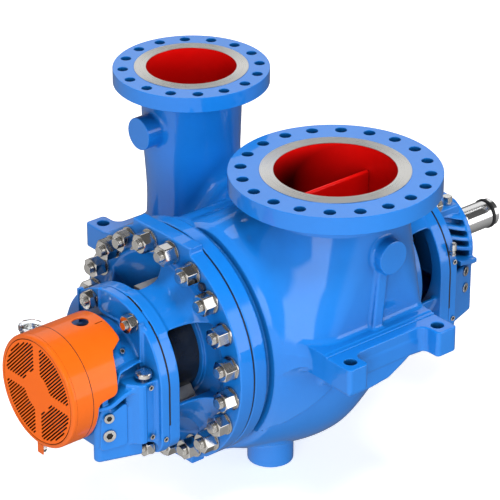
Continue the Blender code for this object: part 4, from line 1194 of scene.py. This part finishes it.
wall, normal = sump_side(-0.7244, -0.034, 1)
oiler_at = ((wall + normal * 0.040)[:2]).tolist() + [0]
cup = lathe(((0, -0.050), (0.014, -0.050), (0.018, -0.046), (0.018, -0.040), (0.022, -0.036), (0.022, 0.014),
             (0.0245, 0.016), (0.0245, 0.022), (0, 0.022)), 48)
stub = put(lathe(((0, 0), (0.014, 0), (0.014, 0.004), (0.009, 0.005), (0.009, 0.030), (0, 0.030)), 32),
           facing(normal), wall + normal * 0.0003)
piece("oiler_cup", [put(cup, UPRIGHT, oiler_at), stub], bright, slot="bright_steel",
      replaces=["oiler_base"])
lid = [(0, 0.0225), (0.0195, 0.0225), (0.0225, 0.0260), (0.0225, 0.0560), (0.0250, 0.0600), (0.0315, 0.0620),
       (0.0330, 0.0650), (0.0330, 0.0760), (0.0310, 0.0815), (0.0240, 0.0845), (0, 0.0850)]
bulb = lathe(lid, 96, 0.0006)
turns = np.arctan2(bulb[0][:, 1], bulb[0][:, 0])
flutes = 1 + 0.045 * np.cos(8 * turns) * (bulb[0][:, 2] > 0.0605) * (bulb[0][:, 2] < 0.0820)
bulb = (bulb[0] * np.column_stack((flutes, flutes, np.ones(len(flutes)))), *bulb[1:])
piece("oiler_reservoir", put(bulb, UPRIGHT, oiler_at), clear, slot="clear_bulb",
      replaces=["oiler_bulb"])
ring = lathe(((0.0228, 0.0226), (0.0245, 0.0226), (0.0245, 0.0290), (0.0232, 0.0290)), 64, 0.0005)
piece("oiler_ring", put(ring, UPRIGHT, oiler_at), dark_steel, slot="dark_steel")

bolt = put(hex_nut(0.026, 0.017, 0.0005), UPRIGHT, (0.560, -0.073, 0.1405))
shoulder = lathe(((0, -0.001), (0.0135, -0.001), (0.0135, 0.0078), (0.0125, 0.0085), (0, 0.0085)), 32)
piece("inboard_vent_bolt", [bolt, put(shoulder, UPRIGHT, (0.560, -0.073, 0.1325))], bright,
      slot="bright_steel")
fitting = lathe(((0, 0), (0.008, 0), (0.008, 0.006), (0.006, 0.008), (0.006, 0.015), (0.0095, 0.018),
                 (0.0095, 0.036), (0.006, 0.040), (0, 0.042)), 24, 0.0005)
elbow = lathe(((0, 0), (0.0070, 0), (0.0070, 0.024), (0, 0.024)), 24)
piece("inboard_grease_fitting", [put(fitting, UPRIGHT, (0.4540, -0.2130, 0.055)),
                                 put(elbow, facing((0, -1, 0)), (0.4540, -0.1930, 0.060))],
      bright, slot="bright_steel")

nuts, studs, _ = fasteners([(HEAD_FACE, -0.178, 0.242), (HEAD_FACE, -0.172, 0.240)], (0, 0), nut_flats=0.022,
                           nut_height=0.010, stud_r=0.008, tip=0.012)
opposite = np.diag((1, -1, -1))
piece("jack_screws", [nuts[0], studs[0], put(nuts[1], opposite), put(studs[1], opposite)], dark_steel,
      slot="dark_steel")


# Guard over the fan

def slot_loop(a, b, half, steps=6):
    """Clockwise round-ended slot between two points."""
    a, b = np.array(a), np.array(b)
    along_it = (b - a) / np.linalg.norm(b - a)
    side = np.array((-along_it[1], along_it[0]))
    loop = []
    for end, sign in ((b, 1), (a, -1)):
        for t in np.linspace(-math.pi / 2, math.pi / 2, steps):
            loop.append(end + half * sign * (along_it * math.cos(t) + side * math.sin(t)))
    return np.array(loop)[::-1]


def guard_slots():
    """Slanting slots in four fields, between the hub, the spokes and the rim."""
    slots = []
    along_it, step = np.array((1, 1)) / math.sqrt(2), np.array((-1, 1)) / math.sqrt(2)
    for k in range(-17, 18):
        s = np.arange(-0.142, 0.142, 0.0005)
        p = step * 0.0079 * k + s[:, None] * along_it
        r = np.hypot(p[:, 0], p[:, 1])
        open_here = (r < 0.137) & (r > 0.057) & (np.abs(p).min(axis=1) > 0.0145)
        edges = np.flatnonzero(np.diff(np.concatenate(([0], open_here.astype(int), [0]))))
        for start, end in zip(edges[::2], edges[1::2]):
            if s[end - 1] - s[start] > 0.006:
                slots.append(slot_loop(p[start], p[end - 1], 0.0023))
    return slots


front = plate(ring_of(0.1462, 96), guard_slots(), 0.8560, 0.8585, 0.0004)
piece("guard_front_grille", put(front, AGAINST_X), orange_front, slot="orange_paint",
      replaces=["guard_front"])
rolled = [(0.1515 + 0.0085 * math.cos(a), 0.8515 + 0.0085 * math.sin(a))
          for a in np.linspace(0.2, math.pi / 2, 8)]
rim = [(0.1480, 0.8545), (DRUM_R, 0.8450), (0.1600, 0.8450), (0.1600, 0.8515), *rolled, (0.1497, 0.860),
       (0.1480, 0.8580)]
piece("guard_rim", put(lathe(rim, 160, 0.0005), AGAINST_X), orange, slot="orange_paint")


def wrapped(shape, radius):
    """Rolls a flat sheet round the shaft: u runs round from the top, v along x, w outwards."""
    verts, norms, faces = shape
    a = math.pi / 2 + verts[:, 0] / radius
    c, s = np.cos(a), np.sin(a)
    r = radius + verts[:, 2]
    u, v, w = norms.T
    normals = np.column_stack((v, w * c - u * s, w * s + u * c))
    return np.column_stack((verts[:, 1], r * c, r * s)), normals, faces


def divided(loop, step):
    """A loop with extra points so that it bends smoothly."""
    out = []
    for a, b in zip(loop, np.roll(loop, -1, 0)):
        n = max(1, int(np.ceil(abs(b[0] - a[0]) / step)))
        out += [a + (b - a) * k / n for k in range(n)]
    return np.array(out)


def round_the_drum(points):
    """(degrees from the top, x) to flat coordinates, mirrored to both sides."""
    half = [(math.radians(a) * DRUM_R, x) for a, x in points]
    return np.array(half + [(-u, x) for u, x in reversed(half)])


DRUM_EDGE = ((34, -0.653), (37.5, -0.656), (43, -0.680), (45, -0.690), (50, -0.696), (60, -0.702),
             (72, -0.708), (82, -0.711), (85.5, -0.715), (87.5, -0.724), (89, -0.758), (90.5, -0.770),
             (94, -0.7755), (110, -0.776), (179.6, -0.776), (179.6, -0.8448))
loop = round_the_drum(DRUM_EDGE)[::-1]
hole = ring_of(0.0225, 40, (0, -0.711), clockwise=True)
mark = slot_loop((0.0300, -0.6845), (0.0300, -0.6615), 0.0011)
sheet = plate(divided(loop, 0.006), [hole, mark], 0.0, 0.004, 0.0008, grid=0.006)
piece("guard_sheet", wrapped(sheet, DRUM_R), orange, slot="orange_paint", replaces=["guard_drum"])
# thin black band: painted shade along the drum's seam
seam_shade = lathe(((0.1598, -0.7936), (0.1603, -0.7934), (0.1603, -0.7916), (0.1598, -0.7914)), 160, 0.0001)
piece("guard_seam", put(seam_shade, ALONG_X), black_gasket_and_shade, slot="orange_paint")

tab = filleted(((-0.8555, -0.1905), (-0.8520, -0.1905), (-0.8520, -0.1640), (-0.8150, -0.1640),
                (-0.8150, -0.1603), (-0.8555, -0.1603)), 0.0010)
TAB_TURN = np.array(((1, 0, 0), (0, 0, -1), (0, 1, 0)), float)
piece("guard_bracket", put(plate(tab, [], -0.012, 0.012, 0.0008), TAB_TURN), orange, slot="orange_paint",
      replaces=["guard_tab"])
piece("guard_bolt", list(fastener((-0.8520, 0.0, -0.177), (1, 0, 0), nut_flats=0.021, nut_height=0.010,
                                  stud_r=0.0065, tip=0.015, washer_r=0.012, washer_t=0.0015)), nut_steel,
      slot="bright_steel")
# near-black fan: its own dark finish together with painted shade for the inside of the guard seen through the
# slots
fan_black_and_shade = plain_steel("fan_black_and_shade_finish", (0.022, 0.021, 0.020), 0.6, metallic=0.0)
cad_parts["cooling_fan"].material_slots[0].material = fan_black_and_shade


# Floor, light and camera

floor_mesh = bpy.data.meshes.new("floor")
FLOOR_Z, FLOOR_REACH = -0.430 + AXIS[2] - 0.001, 40
corners = [(x * FLOOR_REACH, y * FLOOR_REACH, FLOOR_Z) for x, y in ((-1, -1), (1, -1), (1, 1), (-1, 1))]
floor_mesh.from_pydata(corners, [], [(0, 1, 2, 3)])
floor = bpy.data.objects.new("floor", floor_mesh)
bpy.context.scene.collection.objects.link(floor)
ground = new_material("floor_finish")
ground.set(Base_Color=ground.mix(ground.ramp(ground.noise(1.5), 0.3, 0.7), (0.86, 0.86, 0.86, 1),
                                 (0.88, 0.88, 0.88, 1)), Roughness=0.8)
ground.set(Emission_Color=(1, 1, 1, 1), Emission_Strength=0.62)
floor_mesh.materials.append(ground.owner)
floor.visible_glossy = False
floor.visible_diffuse = False
floor.visible_shadow = False


def studio():
    """White room with a bright side towards the camera's left, three softboxes round it and one overhead."""
    world = bpy.data.worlds.new("studio")
    bpy.context.scene.world = world
    n = Nodes(world)
    x, y, z = n.new("ShaderNodeSeparateXYZ", {0: n.coordinates["Generated"]}).outputs
    flat = n.math("SQRT", n.math("ADD", n.math("MULTIPLY", x, x), n.math("MULTIPLY", y, y)))
    flat = n.math("MAXIMUM", flat, 0.001)

    def step(value, low, high):
        return n.ramp(value, low, high, kind="SMOOTHSTEP")

    def towards(azimuth):
        """Cosine of the angle on plan from an azimuth, seen from above, 0 along +X."""
        c, s = math.cos(math.radians(azimuth)), math.sin(math.radians(azimuth))
        dot = n.math("ADD", n.math("MULTIPLY", x, c), n.math("MULTIPLY", y, s))
        return n.math("DIVIDE", dot, flat)

    def box(azimuth, half, low, high, soft=3.0):
        rad = math.radians
        side = step(towards(azimuth), math.cos(rad(half + soft)), math.cos(rad(half - soft)))
        bottom = step(z, math.sin(rad(low - soft)), math.sin(rad(low + soft)))
        top = step(z, math.sin(rad(high + soft)), math.sin(rad(high - soft)))
        return n.math("MULTIPLY", side, n.math("MULTIPLY", bottom, top))

    side_light = n.math("ADD", n.math("MULTIPLY", towards(-150), 0.5), 0.5)
    low_glow = n.math("ADD", 0.15, n.math("MULTIPLY", n.math("POWER", side_light, 1.2), 0.90))
    high_glow = n.math("ADD", 0.06, n.math("MULTIPLY", side_light, 0.24))
    total = n.math("ADD", n.math("MULTIPLY", low_glow, step(z, 0.17, 0.05)),
                   n.math("MULTIPLY", high_glow, step(z, 0.05, 0.17)))
    for azimuth, half, low, high, level in ((-150, 15, 7, 30, 2.4), (-50, 15, -6, 31, 2.1),
                                            (65, 48, 13, 46, 0.95), (85, 60, 72, 88, 2.2)):
        total = n.math("ADD", total, n.math("MULTIPLY", box(azimuth, half, low, high), level))
    seen = n.new("ShaderNodeLightPath").outputs["Is Camera Ray"]
    strength = n.new("ShaderNodeMix", {0: seen, 2: total, 3: 1.0}).outputs[0]
    background = n.tree.nodes["Background"]
    n.link(background.inputs["Strength"], strength)
    background.inputs["Color"].default_value = (1, 1, 1, 1)


def soft_light(name, azimuth, elevation, size, power):
    """Large lamp that lights without showing as a reflection."""
    a, e = math.radians(azimuth), math.radians(elevation)
    light = bpy.data.lights.new(name, "AREA")
    light.size = size
    light.energy = power
    item = bpy.data.objects.new(name, light)
    item.location = 6.0 * Vector((math.cos(a) * math.cos(e), math.sin(a) * math.cos(e), math.sin(e)))
    item.rotation_euler = item.location.to_track_quat("Z", "Y").to_euler()
    item.visible_glossy = False
    bpy.context.scene.collection.objects.link(item)


studio()
soft_light("side_fill", -138, 12, 2.4, 180)
soft_light("top_fill", -100, 76, 2.4, 285)

LENS, SENSOR, CAMERA_DISTANCE = 212.32, 36.0, 8.21576
AZIMUTH, ELEVATION, ROLL = math.radians(-40.17), math.radians(27.153), math.radians(0.05)
TARGET = Vector((-0.079507, 0.050528, 0.14477)) + Vector(AXIS)
camera_data = bpy.data.cameras.new("camera")
camera_data.lens = LENS
camera_data.sensor_width = SENSOR
camera_data.clip_end = 100
camera = bpy.data.objects.new("camera", camera_data)
bpy.context.scene.collection.objects.link(camera)
back = Vector((math.sin(AZIMUTH) * math.cos(ELEVATION), -math.cos(AZIMUTH) * math.cos(ELEVATION),
               math.sin(ELEVATION)))
camera.location = TARGET + back * CAMERA_DISTANCE
camera.rotation_euler = (back.to_track_quat("Z", "Y").to_matrix() @ Matrix.Rotation(ROLL, 3, "Z")).to_euler()
bpy.context.scene.camera = camera
bpy.context.scene.view_settings.view_transform = "Standard"
